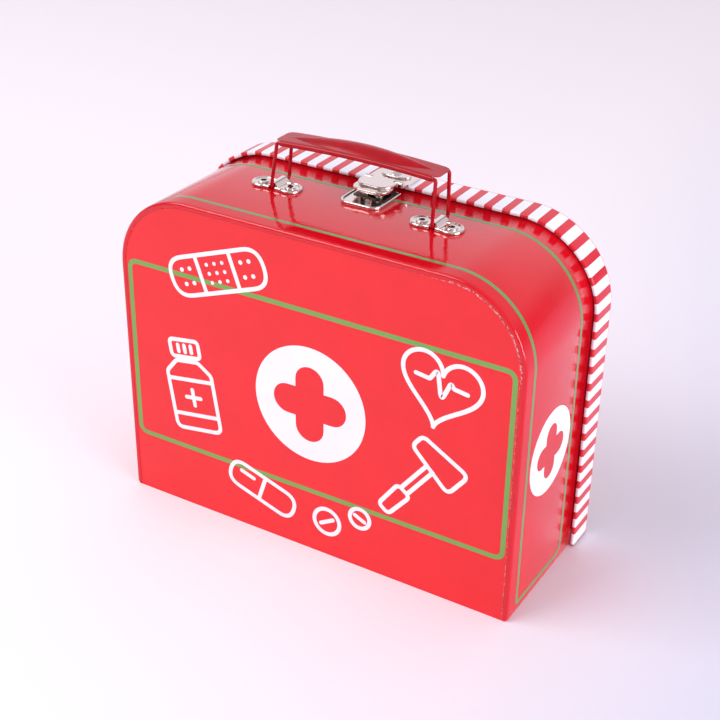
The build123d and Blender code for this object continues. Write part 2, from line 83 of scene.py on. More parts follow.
# The wall paper's fold over the front edge.
TURN_IN = 2.7 * MM
BEAD_RADIUS = 1.3 * MM
LINED_WALL = 1.95 * MM
ARC_STEP = math.radians(2.0)

# The rim, measured outward from the body's outer face.
RIM_CLEARANCE = 0.4 * MM
RIM_INNER = 0.6 * MM
RIM_OUTER = 2.1 * MM
RIM_SKIN = 2.35 * MM
RIM_BOTTOM = 0.55 * MM
RIM_BEAD_RADIUS = 0.8 * MM

# How far the strip's ends are folded under at the rim's feet.
RIM_END_FOLD = 0.9 * MM

# The handle's grip: its rolled edges bow up between their ends, and its sheet reaches past them.
ROLL_FRONT_Y = -4.5 * MM
ROLL_BACK_Y = 7.3 * MM
ROLL_Z = 176.9 * MM
ROLL_BOW = 1.3 * MM
ROLL_RADIUS = 1.25 * MM
ROLL_HALF_LENGTH = 36.7 * MM
GRIP_HALF_LENGTH = 39.6 * MM
GRIP_CORNER = 2.4 * MM
GRIP_SHEET = 0.3 * MM

# The handle's clips, about the middles of their lobes.
CLIP_MIDDLES = (-41.2 * MM, 38.2 * MM)
CLIP_Y = -1.1 * MM
LOBE_X = 7.0 * MM
LOBE_RADIUS = 5.4 * MM
WAIST_HALF = 4.6 * MM
WAIST_CUT = 1.25 * MM
CLIP_HOLE = 1.95 * MM
RIVET_BORE = 1.6 * MM
BRIDGE_FRONT_Y = -4.3 * MM
BRIDGE_BACK_Y = 4.6 * MM

# The latch's base plate.
TRAY_HALF = 10.1 * MM
TRAY_FRONT_Y = -2.0 * MM
TRAY_BACK_Y = 19.5 * MM
TRAY_FRONT_RADIUS = 4.8 * MM
TRAY_BACK_RADIUS = 1.6 * MM

# Printing ink and film are a few hundredths of a millimetre thick. These lifts keep one over another.
GREEN_LIFT = 0.03 * MM
WHITE_LIFT = 0.05 * MM
RED_LIFT = 0.07 * MM

# Strokes that cross differ in height by a step, over so many levels.
STROKE_STEP = 0.006 * MM
STROKE_LEVELS = 8

# A print reaches down into the paper, so that no gap shows under it.
INK_ROOT = -0.1 * MM

# Each film's roughness, and the depth of its orange peel.
SATIN = (0.36, 0.03 * MM)
GLOSS = (0.04, 0.08 * MM)
RIM_GLOSS = (0.14, 0.05 * MM)

# The crosses, as shares of their disc's radius: half their length, and half their arms' width.
CROSS_REACH = 0.66
SIDE_CROSS_ARM = 0.255
FRONT_CROSS_ARM = 0.256

# The middle of the front's green line.
BORDER_HALF = 95.3 * MM
BORDER_LOW = 31.6 * MM
BORDER_HIGH = 121.1 * MM
BORDER_CORNER = 4.4 * MM

# The camera: its sensor and lens in millimetres, its place in metres and its turns in degrees.
SENSOR = 36.0
LENS = 71.6
CAMERA_PLACE = (0.28847, -0.48395, 0.39547)
CAMERA_AZIMUTH = 30.65
CAMERA_DOWN = 29.26
CAMERA_ROLL = 0.907


def linear(hex_code):
    """An sRGB hex colour as linear red, green and blue, by the curve of that standard."""
    channels = [int(hex_code[i:i + 2], 16) / 255 for i in (0, 2, 4)]
    return tuple(c / 12.92 if c <= 0.04045 else ((c + 0.055) / 1.055) ** 2.4 for c in channels)


def with_alpha(colour):
    """A colour as the four numbers that a socket takes."""
    return (*colour, 1.0)


def toned(colour, factor):
    """A colour made darker or lighter, up to white."""
    return [min(channel * factor, 1.0) for channel in colour]


# --- Settings --------------------------------------------------------------------------------------------


class DoctorCaseStage(bpy.types.PropertyGroup):
    """The studio round the case."""

    key_power: bpy.props.FloatProperty(
        name="Key light", description="Power of the large soft light at the left front",
        default=21.0, min=0.0, unit="POWER")
    side_power: bpy.props.FloatProperty(
        name="Side light", description="Power of the low light at the right front",
        default=23.5, min=0.0, unit="POWER")
    room_front: bpy.props.FloatProperty(
        name="Room, front", description="Strength of the room's light from behind the camera",
        default=0.25, min=0.0)
    room_back: bpy.props.FloatProperty(
        name="Room, back", description="Strength of the white wall's light from behind the case",
        default=1.02, min=0.0)
    room_right: bpy.props.FloatProperty(
        name="Room, right", description="Strength of the room's light from the right",
        default=0.78, min=0.0)
    room_low: bpy.props.FloatProperty(
        name="Room, right, low", description="Strength of the dark band low at the right",
        default=0.3, min=0.0)
    room_top: bpy.props.FloatProperty(
        name="Room, ceiling", description="Strength of the ceiling's light", default=0.64, min=0.0)
    sky_colour: bpy.props.FloatVectorProperty(
        name="Room colour", description="Colour of the light from all round", subtype="COLOR",
        default=linear("F8F6FF"))
    floor_colour: bpy.props.FloatVectorProperty(
        name="Floor", description="Colour of the floor on the left", subtype="COLOR",
        default=linear("FFF6FC"))
    # Painted shade: the floor's colour on the right is darker, standing in for the light falling off there.
    floor_painted_shade: bpy.props.FloatVectorProperty(
        name="Floor, right", description="Colour of the floor on the right", subtype="COLOR",
        default=linear("CACFE6"))


class DoctorCasePrint(bpy.types.PropertyGroup):
    """The printed papers of the body."""

    front_red: bpy.props.FloatVectorProperty(
        name="Front red", description="Ink of the front sheet", subtype="COLOR", default=linear("EE1A24"))
    wall_red: bpy.props.FloatVectorProperty(
        name="Wall red", description="Ink of the sides and top", subtype="COLOR", default=linear("D80C1E"))
    green: bpy.props.FloatVectorProperty(
        name="Green", description="Ink of the front's line", subtype="COLOR", default=linear("76A550"))
    wall_green: bpy.props.FloatVectorProperty(
        name="Wall green", description="Ink of the lines on the sides and top", subtype="COLOR",
        default=linear("6C9658"))
    white: bpy.props.FloatVectorProperty(
        name="White", description="Bare paper of discs and figures", subtype="COLOR",
        default=linear("F8F6FC"))
    border_line: bpy.props.FloatProperty(
        name="Border line", description="Width of the green line on the front", subtype="DISTANCE",
        default=2.3 * MM, min=0.5 * MM, max=5 * MM)
    wall_line: bpy.props.FloatProperty(
        name="Wall line", description="Width of the green line on the sides and top", subtype="DISTANCE",
        default=1.95 * MM, min=0.5 * MM, max=3 * MM)
    figure_line: bpy.props.FloatProperty(
        name="Figure line", description="Width of the white lines", subtype="DISTANCE",
        default=2.0 * MM, min=0.5 * MM, max=4 * MM)
    front_disc: bpy.props.FloatProperty(
        name="Front disc", description="Radius of the white disc on the front", subtype="DISTANCE",
        default=28.1 * MM, min=10 * MM, max=30 * MM)
    side_disc: bpy.props.FloatProperty(
        name="Side disc", description="Radius of the white discs on the sides", subtype="DISTANCE",
        default=19.9 * MM, min=5 * MM, max=21 * MM)


class DoctorCaseRim(bpy.types.PropertyGroup):
    """The striped paper of the lid's rim."""

    pitch: bpy.props.FloatProperty(
        name="Stripe pitch", description="One red and one white stripe together", subtype="DISTANCE",
        default=8.425 * MM, min=3 * MM, max=30 * MM)
    red_share: bpy.props.FloatProperty(
        name="Red share", description="Part of the pitch that is red", subtype="FACTOR",
        default=0.455, min=0.1, max=0.9)
    first_stripe: bpy.props.FloatProperty(
        name="First stripe", description="Middle of the lowest red stripe, from the right foot",
        subtype="DISTANCE", default=8.55 * MM, min=0.0, max=30 * MM)
    red: bpy.props.FloatVectorProperty(
        name="Stripe red", description="Ink of the stripes", subtype="COLOR", default=linear("D92436"))
    white: bpy.props.FloatVectorProperty(
        name="Stripe white", description="Bare paper between the stripes", subtype="COLOR",
        default=linear("F4F3FC"))


class DoctorCaseHandle(bpy.types.PropertyGroup):
    """The enamelled handle."""

    crown: bpy.props.FloatProperty(
        name="Crown", description="Height of the grip's pressed crown", subtype="DISTANCE",
        default=2.85 * MM, min=0.5 * MM, max=3 * MM)
    crown_half_length: bpy.props.FloatProperty(
        name="Crown half length", description="From the grip's middle to the crown's point",
        subtype="DISTANCE", default=34.0 * MM, min=15 * MM, max=37 * MM)
    enamel: bpy.props.FloatVectorProperty(
        name="Enamel", description="Colour of the handle", subtype="COLOR", default=linear("B2081A"))


class DoctorCaseMetal(bpy.types.PropertyGroup):
    """The nickel-plated fittings."""

    nickel: bpy.props.FloatVectorProperty(
        name="Nickel", description="Colour of the plating", subtype="COLOR", default=linear("EBDCD6"))
    edge_round: bpy.props.FloatProperty(
        name="Edge round", description="Radius that pressing and tumbling leave on the metal's edges",
        subtype="DISTANCE", default=0.22 * MM, min=0.05 * MM, max=0.35 * MM)


# --- Meshes ----------------------------------------------------------------------------------------------


def skin(rings, loop=False):
    """Points and faces of a closed skin through rings of equal length.

    The last ring joins the first when it is a loop. Otherwise a face closes each end.
    """
    size = len(rings[0])
    if any(len(ring) != size for ring in rings):
        raise ValueError("a skin's rings need the same number of points")
    points = [point for ring in rings for point in ring]
    faces = []
    for k in range(len(rings) if loop else len(rings) - 1):
        here = k * size
        there = (k + 1) % len(rings) * size
        for i in range(size):
            j = (i + 1) % size
            faces.append((here + i, here + j, there + j, there + i))
    if not loop:
        faces.append(tuple(range(size - 1, -1, -1)))
        faces.append(tuple(range(len(points) - size, len(points))))
    return points, faces


def joined(skins):
    """Several skins as one."""
    points, faces = [], []
    for more_points, more_faces in skins:
        start = len(points)
        points += more_points
        faces += [tuple(start + i for i in face) for face in more_faces]
    return points, faces


def bent_sheet(rows, kept, thickness):
    """The skin of a bent sheet with a free outline.

    rows are rows of points on the sheet's middle, and kept(k, i) tells whether the sheet is there between
    rows k and k + 1 and between points i and i + 1.
    """
    quads = [((k, i), (k, i + 1), (k + 1, i + 1), (k + 1, i))
             for k in range(len(rows) - 1) for i in range(len(rows[0]) - 1) if kept(k, i)]
    normals = {}
    for quad in quads:
        a, b, c, d = (rows[k][i] for k, i in quad)
        normal = (c - a).cross(d - b)
        for corner in quad:
            normals[corner] = normals.get(corner, Vector((0, 0, 0))) + normal.normalized()
    points, upper, lower = [], {}, {}
    for corner, normal in normals.items():
        middle = rows[corner[0]][corner[1]]
        half = normal.normalized() * thickness / 2
        upper[corner] = len(points)
        lower[corner] = len(points) + 1
        points += [middle + half, middle - half]
    edges = {(quad[i - 1], quad[i]) for quad in quads for i in range(4)}
    faces = [tuple(upper[corner] for corner in quad) for quad in quads]
    faces += [tuple(lower[corner] for corner in reversed(quad)) for quad in quads]
    faces += [(upper[a], lower[a], lower[b], upper[b]) for a, b in edges if (b, a) not in edges]
    return points, sorted(faces)


def add_piece(name, shape, materials, body, replaces=(), sharp=35.0):
    """A mesh piece of the case, smooth but for edges sharper than the angle, that moves with a body."""
    points, faces = shape
    mesh = bpy.data.meshes.new(name)
    mesh.from_pydata([Vector(p) for p in points], [], faces)
    for material in materials:
        mesh.materials.append(material)
    mesh.polygons.foreach_set("use_smooth", [True] * len(mesh.polygons))
    mesh.update()
    piece = bpy.data.objects.new(name, mesh)
    bpy.context.scene.collection.objects.link(piece)
    outward_faces(mesh)
    mesh.set_sharp_from_angle(angle=math.radians(sharp))
    if body:
        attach(piece, body)
    if replaces:
        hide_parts(*replaces)
    return piece


def outward_faces(mesh):
    """Turns the faces of a closed mesh to the outside."""
    work = bmesh.new()
    work.from_mesh(mesh)
    bmesh.ops.recalc_face_normals(work, faces=work.faces)
    work.to_mesh(mesh)
    work.free()


def outline(distance, outset, foot):
    """A point on the case's outline and the outward direction there, both as (x, z).

    distance runs along the outline from its left foot, at height foot, outset outside the body's face.
    """
    radius = CORNER_RADIUS + outset
    rise = HEIGHT - CORNER_RADIUS - foot
    quarter = radius * math.pi / 2
    flat = HALF_WIDTH - CORNER_RADIUS
    middle = rise + quarter + flat
    side = -1 if distance < middle else 1
    from_foot = min(distance, 2 * middle - distance)
    angle = min(max((from_foot - rise) / radius, 0.0), math.pi / 2)
    outward = Vector((side * math.cos(angle), math.sin(angle)))
    if from_foot < rise:
        point = Vector((side * (HALF_WIDTH + outset), foot + from_foot))
    elif from_foot < rise + quarter:
        point = Vector((side * flat, HEIGHT - CORNER_RADIUS)) + radius * outward
    else:
        point = Vector((side * (middle - from_foot), HEIGHT + outset))
    return point, outward


def outline_length(outset, foot):
    """The outline's whole length, from foot to foot."""
    arcs = (CORNER_RADIUS + outset) * math.pi
    return 2 * (HEIGHT - CORNER_RADIUS - foot) + arcs + 2 * (HALF_WIDTH - CORNER_RADIUS)


def even_steps(start, end, step):
    """Distances from start to end, both among them, at most a step apart."""
    count = max(1, math.ceil((end - start) / step))
    return [start + (end - start) * i / count for i in range(count + 1)]


def arc(centre, radius, start, end, steps):
    """Points round a centre from one angle to another, in degrees, both among them."""
    angles = [math.radians(start + (end - start) * k / steps) for k in range(steps + 1)]
    return [Vector(centre) + radius * Vector((math.cos(angle), math.sin(angle))) for angle in angles]


def rounded(corners, radius, closed=False):
    """A path of 2D points with its corners rounded."""
    corners = [Vector(c) for c in corners]
    count = len(corners)
    path = []
    for i, corner in enumerate(corners):
        if not closed and i in (0, count - 1):
            path.append(corner)
            continue
        before = corners[i - 1] - corner
        after = corners[(i + 1) % count] - corner
        half_turn = (math.pi - before.angle(after)) / 2
        reach = min(radius * math.tan(half_turn), before.length / 2, after.length / 2)
        start = corner + before.normalized() * reach
        end = corner + after.normalized() * reach
        steps = 8
        for k in range(steps + 1):
            t = k / steps
            path.append((1 - t) ** 2 * start + 2 * t * (1 - t) * corner + t**2 * end)
    return path


def round_box(half, low, high, radius):
    """A closed box path with round corners, as wide on both sides of its middle."""
    return rounded([(-half, low), (half, low), (half, high), (-half, high)], radius, closed=True)


def plate_path(half, front, back, front_radius, back_radius, inset):
    """The outline of a plate with round corners, drawn in by inset, always with the same number of points."""
    path = []
    least = 0.05 * MM
    corners = ((half, front, front_radius, -90), (half, back, back_radius, 0),
               (-half, back, back_radius, 90), (-half, front, front_radius, 180))
    for x, y, radius, start in corners:
        radius = max(radius - inset, least)
        middle = Vector((math.copysign(abs(x) - inset - radius, x),
                         y + (inset + radius) * (1 if y == front else -1)))
        path += arc(middle, radius, start, start + 90, 10)
    return path


def circle(centre, radius, steps=96):
    """A closed path round a centre."""
    return arc(centre, radius, 0, 360, steps)[:-1]


def divided(path, step, closed):
    """A path with its long runs divided, so that it can follow a bent surface."""
    made = []
    ends = path[1:] + path[:1] if closed else path[1:]
    for start, end in zip(path, ends):
        count = max(1, math.ceil((end - start).length / step))
        made += [start.lerp(end, i / count) for i in range(count)]
    return made if closed else made + [path[-1]]


def ribbon(path, width, place, lift, closed=False):
    """The skin of a flat printed line, with round ends where it is open.

    place turns (u, v, height over the paper) into a point of the case.
    """
    half = width / 2
    count = len(path)
    stations = []
    for i, point in enumerate(path):
        before = path[i - 1] if closed or i > 0 else point
        after = path[(i + 1) % count] if closed or i < count - 1 else point
        stations.append((point, (after - before).normalized(), half))
    if not closed:
        steps = 5
        # A round end stops a little short of its tip, so that the last ring keeps a width.
        last = math.radians(86)
        for (point, direction, _), way in ((stations[0], -1), (stations[-1], 1)):
            for k in range(1, steps + 1):
                angle = last * k / steps
                tip = point + way * half * math.sin(angle) * direction
                stations.insert(0 if way < 0 else len(stations), (tip, direction, half * math.cos(angle)))
    rings = []
    for point, direction, reach in stations:
        side = Vector((-direction.y, direction.x)) * reach
        rings.append([place(point + side, lift), place(point - side, lift),
                      place(point - side, INK_ROOT), place(point + side, INK_ROOT)])
    return skin(rings, loop=closed)


def patch(path, place, lift):
    """The skin of a flat printed area inside a closed path."""
    return skin([[place(point, INK_ROOT) for point in path], [place(point, lift) for point in path]])


def cross_path(centre, reach, arm):
    """A cross with half-round arms: reach is its half length and arm the arms' half width."""
    quarter = [Vector((arm, -arm))] + arc((reach - arm, 0), arm, -90, 90, 12)
    turns = [Matrix.Rotation(k * math.pi / 2, 2) for k in range(4)]
    return [Vector(centre) + turn @ spot for turn in turns for spot in quarter]


def on_front(point, lift):
    """A place on the front sheet."""
    return (point.x, PRINT_Y - lift, point.y)


def on_wall(point, lift):
    """A place on the wall paper: u runs along the outline from the ground on the left, v is the depth."""
    spot, outward = outline(point.x, 0.0, 0.0)
    spot = spot + outward * lift
    return (spot.x, point.y, spot.y)


# --- Materials -------------------------------------------------------------------------------------------


def add_node(tree, kind, settings=None, inputs=None, stops=()):
    """A node with its settings, its values and its links: an input given an output socket is linked to it.

    stops are the places and colours of the stops, if the node is a colour ramp.
    """
    node = tree.nodes.new(kind)
    for name, value in (settings or {}).items():
        setattr(node, name, value)
    for name, value in (inputs or {}).items():
        if isinstance(value, bpy.types.NodeSocket):
            tree.links.new(value, node.inputs[name])
        else:
            node.inputs[name].default_value = value
    for k, (position, colour) in enumerate(stops):
        node.color_ramp.elements[k].position = position
        node.color_ramp.elements[k].color = with_alpha(colour)
    return node


def new_material(name):
    """An empty material, its node tree and the object coordinates, in metres."""
    material = bpy.data.materials.new(name)
    material.use_nodes = True
    tree = material.node_tree
    tree.nodes.clear()
    return material, tree, add_node(tree, "ShaderNodeTexCoord").outputs["Object"]


def with_surface(material, shader):
    """The material with its shader joined to an output."""
    add_node(material.node_tree, "ShaderNodeOutputMaterial", inputs={"Surface": shader.outputs[0]})
    return material


def per_mm(size_mm):
    """The texture scale that makes one cell that many millimetres wide."""
    return 1 / (size_mm * MM)


def finished(name, make, *choices):
    """The material of that name, made on first use."""
    return bpy.data.materials.get(name) or make(name, *choices)


def laminated_paper(name, colour, roughness, peel):
    """Printed paper under a clear film, rolled onto board.

    The film gives a clear reflection over the ink, broken by its orange peel and by slow waves of the
    board below. Where a folded edge has rubbed, the white of the paper shows.
    """
    material, tree, place = new_material(name)
    # The ink is faintly clouded.
    mottle = add_node(tree, "ShaderNodeTexNoise", inputs={
        "Vector": place, "Scale": per_mm(22), "Detail": 3.0})
    tones = add_node(tree, "ShaderNodeValToRGB", inputs={"Fac": mottle.outputs["Fac"]}, stops=(
        (0.3, toned(colour, 0.96)), (0.7, toned(colour, 1.03))))

    # Scratches break up the rubbed places.
    rubbed = add_node(tree, "ShaderNodeAttribute", {"attribute_name": "rubbed"})
    scratches = add_node(tree, "ShaderNodeTexNoise", inputs={
        "Vector": place, "Scale": per_mm(1.3), "Detail": 4.0, "Roughness": 0.7})
    where = add_node(tree, "ShaderNodeMath", {"operation": "MULTIPLY"}, {
        0: rubbed.outputs["Fac"], 1: scratches.outputs["Fac"]})
    bare = add_node(tree, "ShaderNodeMapRange", inputs={
        "Value": where.outputs[0], "From Min": 0.42, "From Max": 0.56, "To Max": 0.8})
    colours = add_node(tree, "ShaderNodeMix", {"data_type": "RGBA"}, {
        0: bare.outputs[0], 6: tones.outputs["Color"], 7: with_alpha(linear("F3D8D8"))})

    # The film's orange peel, over the board's waves.
    fine = add_node(tree, "ShaderNodeTexNoise", inputs={
        "Vector": place, "Scale": per_mm(1.5), "Detail": 3.0, "Roughness": 0.5})
    wave = add_node(tree, "ShaderNodeTexNoise", inputs={
        "Vector": place, "Scale": per_mm(14), "Detail": 2.0})
    broad = add_node(tree, "ShaderNodeBump", inputs={
        "Height": wave.outputs["Fac"], "Distance": 0.09 * MM, "Strength": 0.5})
    bump = add_node(tree, "ShaderNodeBump", inputs={
        "Height": fine.outputs["Fac"], "Distance": peel, "Strength": 0.7, "Normal": broad.outputs[0]})
    shader = add_node(tree, "ShaderNodeBsdfPrincipled", inputs={
        "Base Color": colours.outputs[2], "Roughness": roughness, "IOR": 1.5,
        "Normal": bump.outputs[0]})
    return with_surface(material, shader)


def enamelled_steel(name, colour):
    """Steel sheet and wire dipped in coloured enamel: a gloss a little uneven where it ran.

    The thin dip has dulled, so it reflects less than new enamel does.
    """
    material, tree, place = new_material(name)
    runs = add_node(tree, "ShaderNodeTexNoise", inputs={
        "Vector": place, "Scale": per_mm(6), "Detail": 2.0})
    tones = add_node(tree, "ShaderNodeValToRGB", inputs={"Fac": runs.outputs["Fac"]}, stops=(
        (0.3, toned(colour, 0.85)), (0.7, toned(colour, 1.06))))
    grain = add_node(tree, "ShaderNodeTexNoise", inputs={
        "Vector": place, "Scale": per_mm(0.9), "Detail": 2.0})
    broad = add_node(tree, "ShaderNodeBump", inputs={
        "Height": runs.outputs["Fac"], "Distance": 0.06 * MM, "Strength": 0.5})
    bump = add_node(tree, "ShaderNodeBump", inputs={
        "Height": grain.outputs["Fac"], "Distance": 0.015 * MM, "Strength": 0.5, "Normal": broad.outputs[0]})
    shader = add_node(tree, "ShaderNodeBsdfPrincipled", inputs={
        "Base Color": tones.outputs["Color"], "Roughness": 0.2, "IOR": 1.52, "Specular IOR Level": 0.28,
        "Normal": bump.outputs[0]})
    return with_surface(material, shader)


def nickel_plate(name, colour):
    """Pressed steel with bright nickel plating: mirror-like, warm grey, hazed by polishing in patches."""
    material, tree, place = new_material(name)
    haze = add_node(tree, "ShaderNodeTexNoise", inputs={
        "Vector": place, "Scale": per_mm(3), "Detail": 3.0})
    rough = add_node(tree, "ShaderNodeMapRange", inputs={
        "Value": haze.outputs["Fac"], "From Min": 0.3, "From Max": 0.7, "To Min": 0.07, "To Max": 0.17})
    press = add_node(tree, "ShaderNodeTexNoise", inputs={
        "Vector": place, "Scale": per_mm(2.5), "Detail": 2.0})
    bump = add_node(tree, "ShaderNodeBump", inputs={
        "Height": press.outputs["Fac"], "Distance": 0.03 * MM, "Strength": 0.3})
    shader = add_node(tree, "ShaderNodeBsdfPrincipled", inputs={
        "Base Color": with_alpha(colour), "Metallic": 1.0, "Roughness": rough.outputs[0],
        "Normal": bump.outputs[0]})
    return with_surface(material, shader)


def painted_shade_plate(name):
    """The inside of a small pressed box: half dull metal, painted dark as the shade of the recess."""
    material, tree, place = new_material(name)
    shade_mottle = add_node(tree, "ShaderNodeTexNoise", inputs={
        "Vector": place, "Scale": per_mm(1.2), "Detail": 3.0})
    # Painted shade: dark browns, mottled by the noise, stand in for the shade deep in the recess.
    tones = add_node(tree, "ShaderNodeValToRGB", inputs={"Fac": shade_mottle.outputs["Fac"]}, stops=(
        (0.35, linear("1C1614")), (0.7, linear("6A5A50"))))
    shader = add_node(tree, "ShaderNodeBsdfPrincipled", inputs={
        "Base Color": tones.outputs["Color"], "Metallic": 1.0, "Roughness": 0.38})
    return with_surface(material, shader)


def tempered_steel(name):
    """Bare spring strip: grey, with the fine lines of rolling along it."""
    material, tree, place = new_material(name)
    along = add_node(tree, "ShaderNodeMapping", inputs={"Vector": place, "Scale": (1.0, 0.1, 1.0)})
    lines = add_node(tree, "ShaderNodeTexNoise", inputs={
        "Vector": along.outputs[0], "Scale": per_mm(0.3), "Detail": 3.0})
    rough = add_node(tree, "ShaderNodeMapRange", inputs={
        "Value": lines.outputs["Fac"], "To Min": 0.25, "To Max": 0.5})
    shader = add_node(tree, "ShaderNodeBsdfPrincipled", inputs={
        "Base Color": with_alpha(linear("8E8E94")), "Metallic": 1.0, "Roughness": rough.outputs[0]})
    return with_surface(material, shader)


def grey_board(name):
    """Board of recycled pulp: matt, flecked with dark and pale fibres."""
    material, tree, place = new_material(name)
    flecks = add_node(tree, "ShaderNodeTexNoise", inputs={
        "Vector": place, "Scale": per_mm(0.8), "Detail": 5.0, "Roughness": 0.7})
    tones = add_node(tree, "ShaderNodeValToRGB", inputs={"Fac": flecks.outputs["Fac"]}, stops=(
        (0.35, linear("8E8577")), (0.65, linear("BFB6A6"))))
    bump = add_node(tree, "ShaderNodeBump", inputs={
        "Height": flecks.outputs["Fac"], "Distance": 0.05 * MM, "Strength": 0.6})
    shader = add_node(tree, "ShaderNodeBsdfPrincipled", inputs={
        "Base Color": tones.outputs["Color"], "Roughness": 0.9, "IOR": 1.45, "Normal": bump.outputs[0]})
    return with_surface(material, shader)


def wove_paper(name):
    """Uncoated white lining paper: matt, with a soft cloudy look and a faint felt texture."""
    material, tree, place = new_material(name)
    cloud = add_node(tree, "ShaderNodeTexNoise", inputs={
        "Vector": place, "Scale": per_mm(9), "Detail": 4.0})
    tones = add_node(tree, "ShaderNodeValToRGB", inputs={"Fac": cloud.outputs["Fac"]}, stops=(
        (0.3, linear("EBE8E1")), (0.7, linear("F3F1EB"))))
    felt = add_node(tree, "ShaderNodeTexNoise", inputs={
        "Vector": place, "Scale": per_mm(0.6), "Detail": 3.0})
    bump = add_node(tree, "ShaderNodeBump", inputs={
        "Height": felt.outputs["Fac"], "Distance": 0.03 * MM, "Strength": 0.5})
    shader = add_node(tree, "ShaderNodeBsdfPrincipled", inputs={
        "Base Color": tones.outputs["Color"], "Roughness": 0.85, "IOR": 1.45, "Normal": bump.outputs[0]})
    return with_surface(material, shader)


def book_cloth(name):
    """Starched cotton cloth, red: a plain weave, dull, with a little sheen.

    Real book cloth has a pair of threads about every 0.8 mm. It is drawn every 1.4 mm, so that it shows.
    """
    material, tree, place = new_material(name)
    pair = per_mm(1.4) * 2 * math.pi
    # A band's width is 2 pi / 20 of the texture's unit along X, and 2 pi / 10 along the diagonal.
    warp = add_node(tree, "ShaderNodeTexWave", {"bands_direction": "X"}, {
        "Vector": place, "Scale": pair / 20, "Distortion": 0.6, "Detail Scale": 2.0})
    along_bend = add_node(tree, "ShaderNodeMapping", inputs={"Vector": place, "Scale": (0.0, 1.0, 1.0)})
    weft = add_node(tree, "ShaderNodeTexWave", {"bands_direction": "DIAGONAL"}, {
        "Vector": along_bend.outputs[0], "Scale": pair / 10, "Distortion": 0.6,
        "Detail Scale": 2.0})
    weave = add_node(tree, "ShaderNodeMath", {"operation": "MAXIMUM"}, {
        0: warp.outputs["Fac"], 1: weft.outputs["Fac"]})
    tones = add_node(tree, "ShaderNodeValToRGB", inputs={"Fac": weave.outputs[0]}, stops=(
        (0.0, linear("8C0A16")), (1.0, linear("C41A28"))))
    bump = add_node(tree, "ShaderNodeBump", inputs={
        "Height": weave.outputs[0], "Distance": 0.08 * MM, "Strength": 0.7})
    shader = add_node(tree, "ShaderNodeBsdfPrincipled", inputs={
        "Base Color": tones.outputs["Color"], "Roughness": 0.8, "IOR": 1.45, "Sheen Weight": 0.15,
        "Normal": bump.outputs[0]})
    return with_surface(material, shader)


def studio_paper(name, near_colour, painted_shade_colour):
    """A roll of matt background paper, its colour painted darker and cooler towards the right as shade."""
    material, tree, place = new_material(name)
    # The change runs to the right and a little to the back, from 50 mm left of the case's middle.
    parts = add_node(tree, "ShaderNodeSeparateXYZ", inputs={"Vector": place})
    turned = add_node(tree, "ShaderNodeMath", {"operation": "MULTIPLY_ADD"}, {
        0: parts.outputs["Y"], 1: 0.1, 2: parts.outputs["X"]})
    across = add_node(tree, "ShaderNodeMapRange", {"interpolation_type": "SMOOTHSTEP"}, {
        "Value": turned.outputs[0], "From Min": -0.05, "From Max": 0.35})
    colours = add_node(tree, "ShaderNodeMix", {"data_type": "RGBA"}, {
        0: across.outputs[0], 6: with_alpha(near_colour), 7: with_alpha(painted_shade_colour)})
    grain = add_node(tree, "ShaderNodeTexNoise", inputs={"Vector": place, "Scale": per_mm(2), "Detail": 3.0})
    bump = add_node(tree, "ShaderNodeBump", inputs={
        "Height": grain.outputs["Fac"], "Distance": 0.02 * MM, "Strength": 0.3})
    shader = add_node(tree, "ShaderNodeBsdfPrincipled", inputs={
        "Base Color": colours.outputs[2], "Roughness": 0.75, "IOR": 1.4, "Normal": bump.outputs[0]})
    return with_surface(material, shader)


def front_film():
    """The front sheet's finish: a satin film, smoother than the wall's but less glossy."""
    return finished("satin laminated paper, front red", laminated_paper,
                    bpy.context.scene.doctor_case_print.front_red, *SATIN)


def wall_film():
    """The wall paper's finish: a gloss film with a clear orange peel."""
    return finished("gloss laminated paper, wall red", laminated_paper,
                    bpy.context.scene.doctor_case_print.wall_red, *GLOSS)


def bright_nickel():
    """The finish of the fittings' bright steel."""
    return finished("bright nickel plate on pressed steel", nickel_plate,
                    bpy.context.scene.doctor_case_metal.nickel)


def painted_shade_recess():
    """The finish of what lies deep in the fittings: metal painted dark as their shade."""
    return finished("thin dark plate of a recess", painted_shade_plate)


def dress(nodes, material):
    """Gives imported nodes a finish."""
    for name in nodes:
        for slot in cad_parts[name].material_slots:
            slot.link = "OBJECT"
            slot.material = material


def soften_edges(nodes, radius):
    """Rounds the edges of packed metal nodes, as pressing and tumbling do."""
    for name in nodes:
        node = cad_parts[name]
        bevel = node.modifiers.new("rounded edges", "BEVEL")
        bevel.width = radius
        bevel.segments = 3
        bevel.limit_method = "ANGLE"
        bevel.angle_limit = math.radians(40)
        bevel.harden_normals = True


# --- Operators -------------------------------------------------------------------------------------------


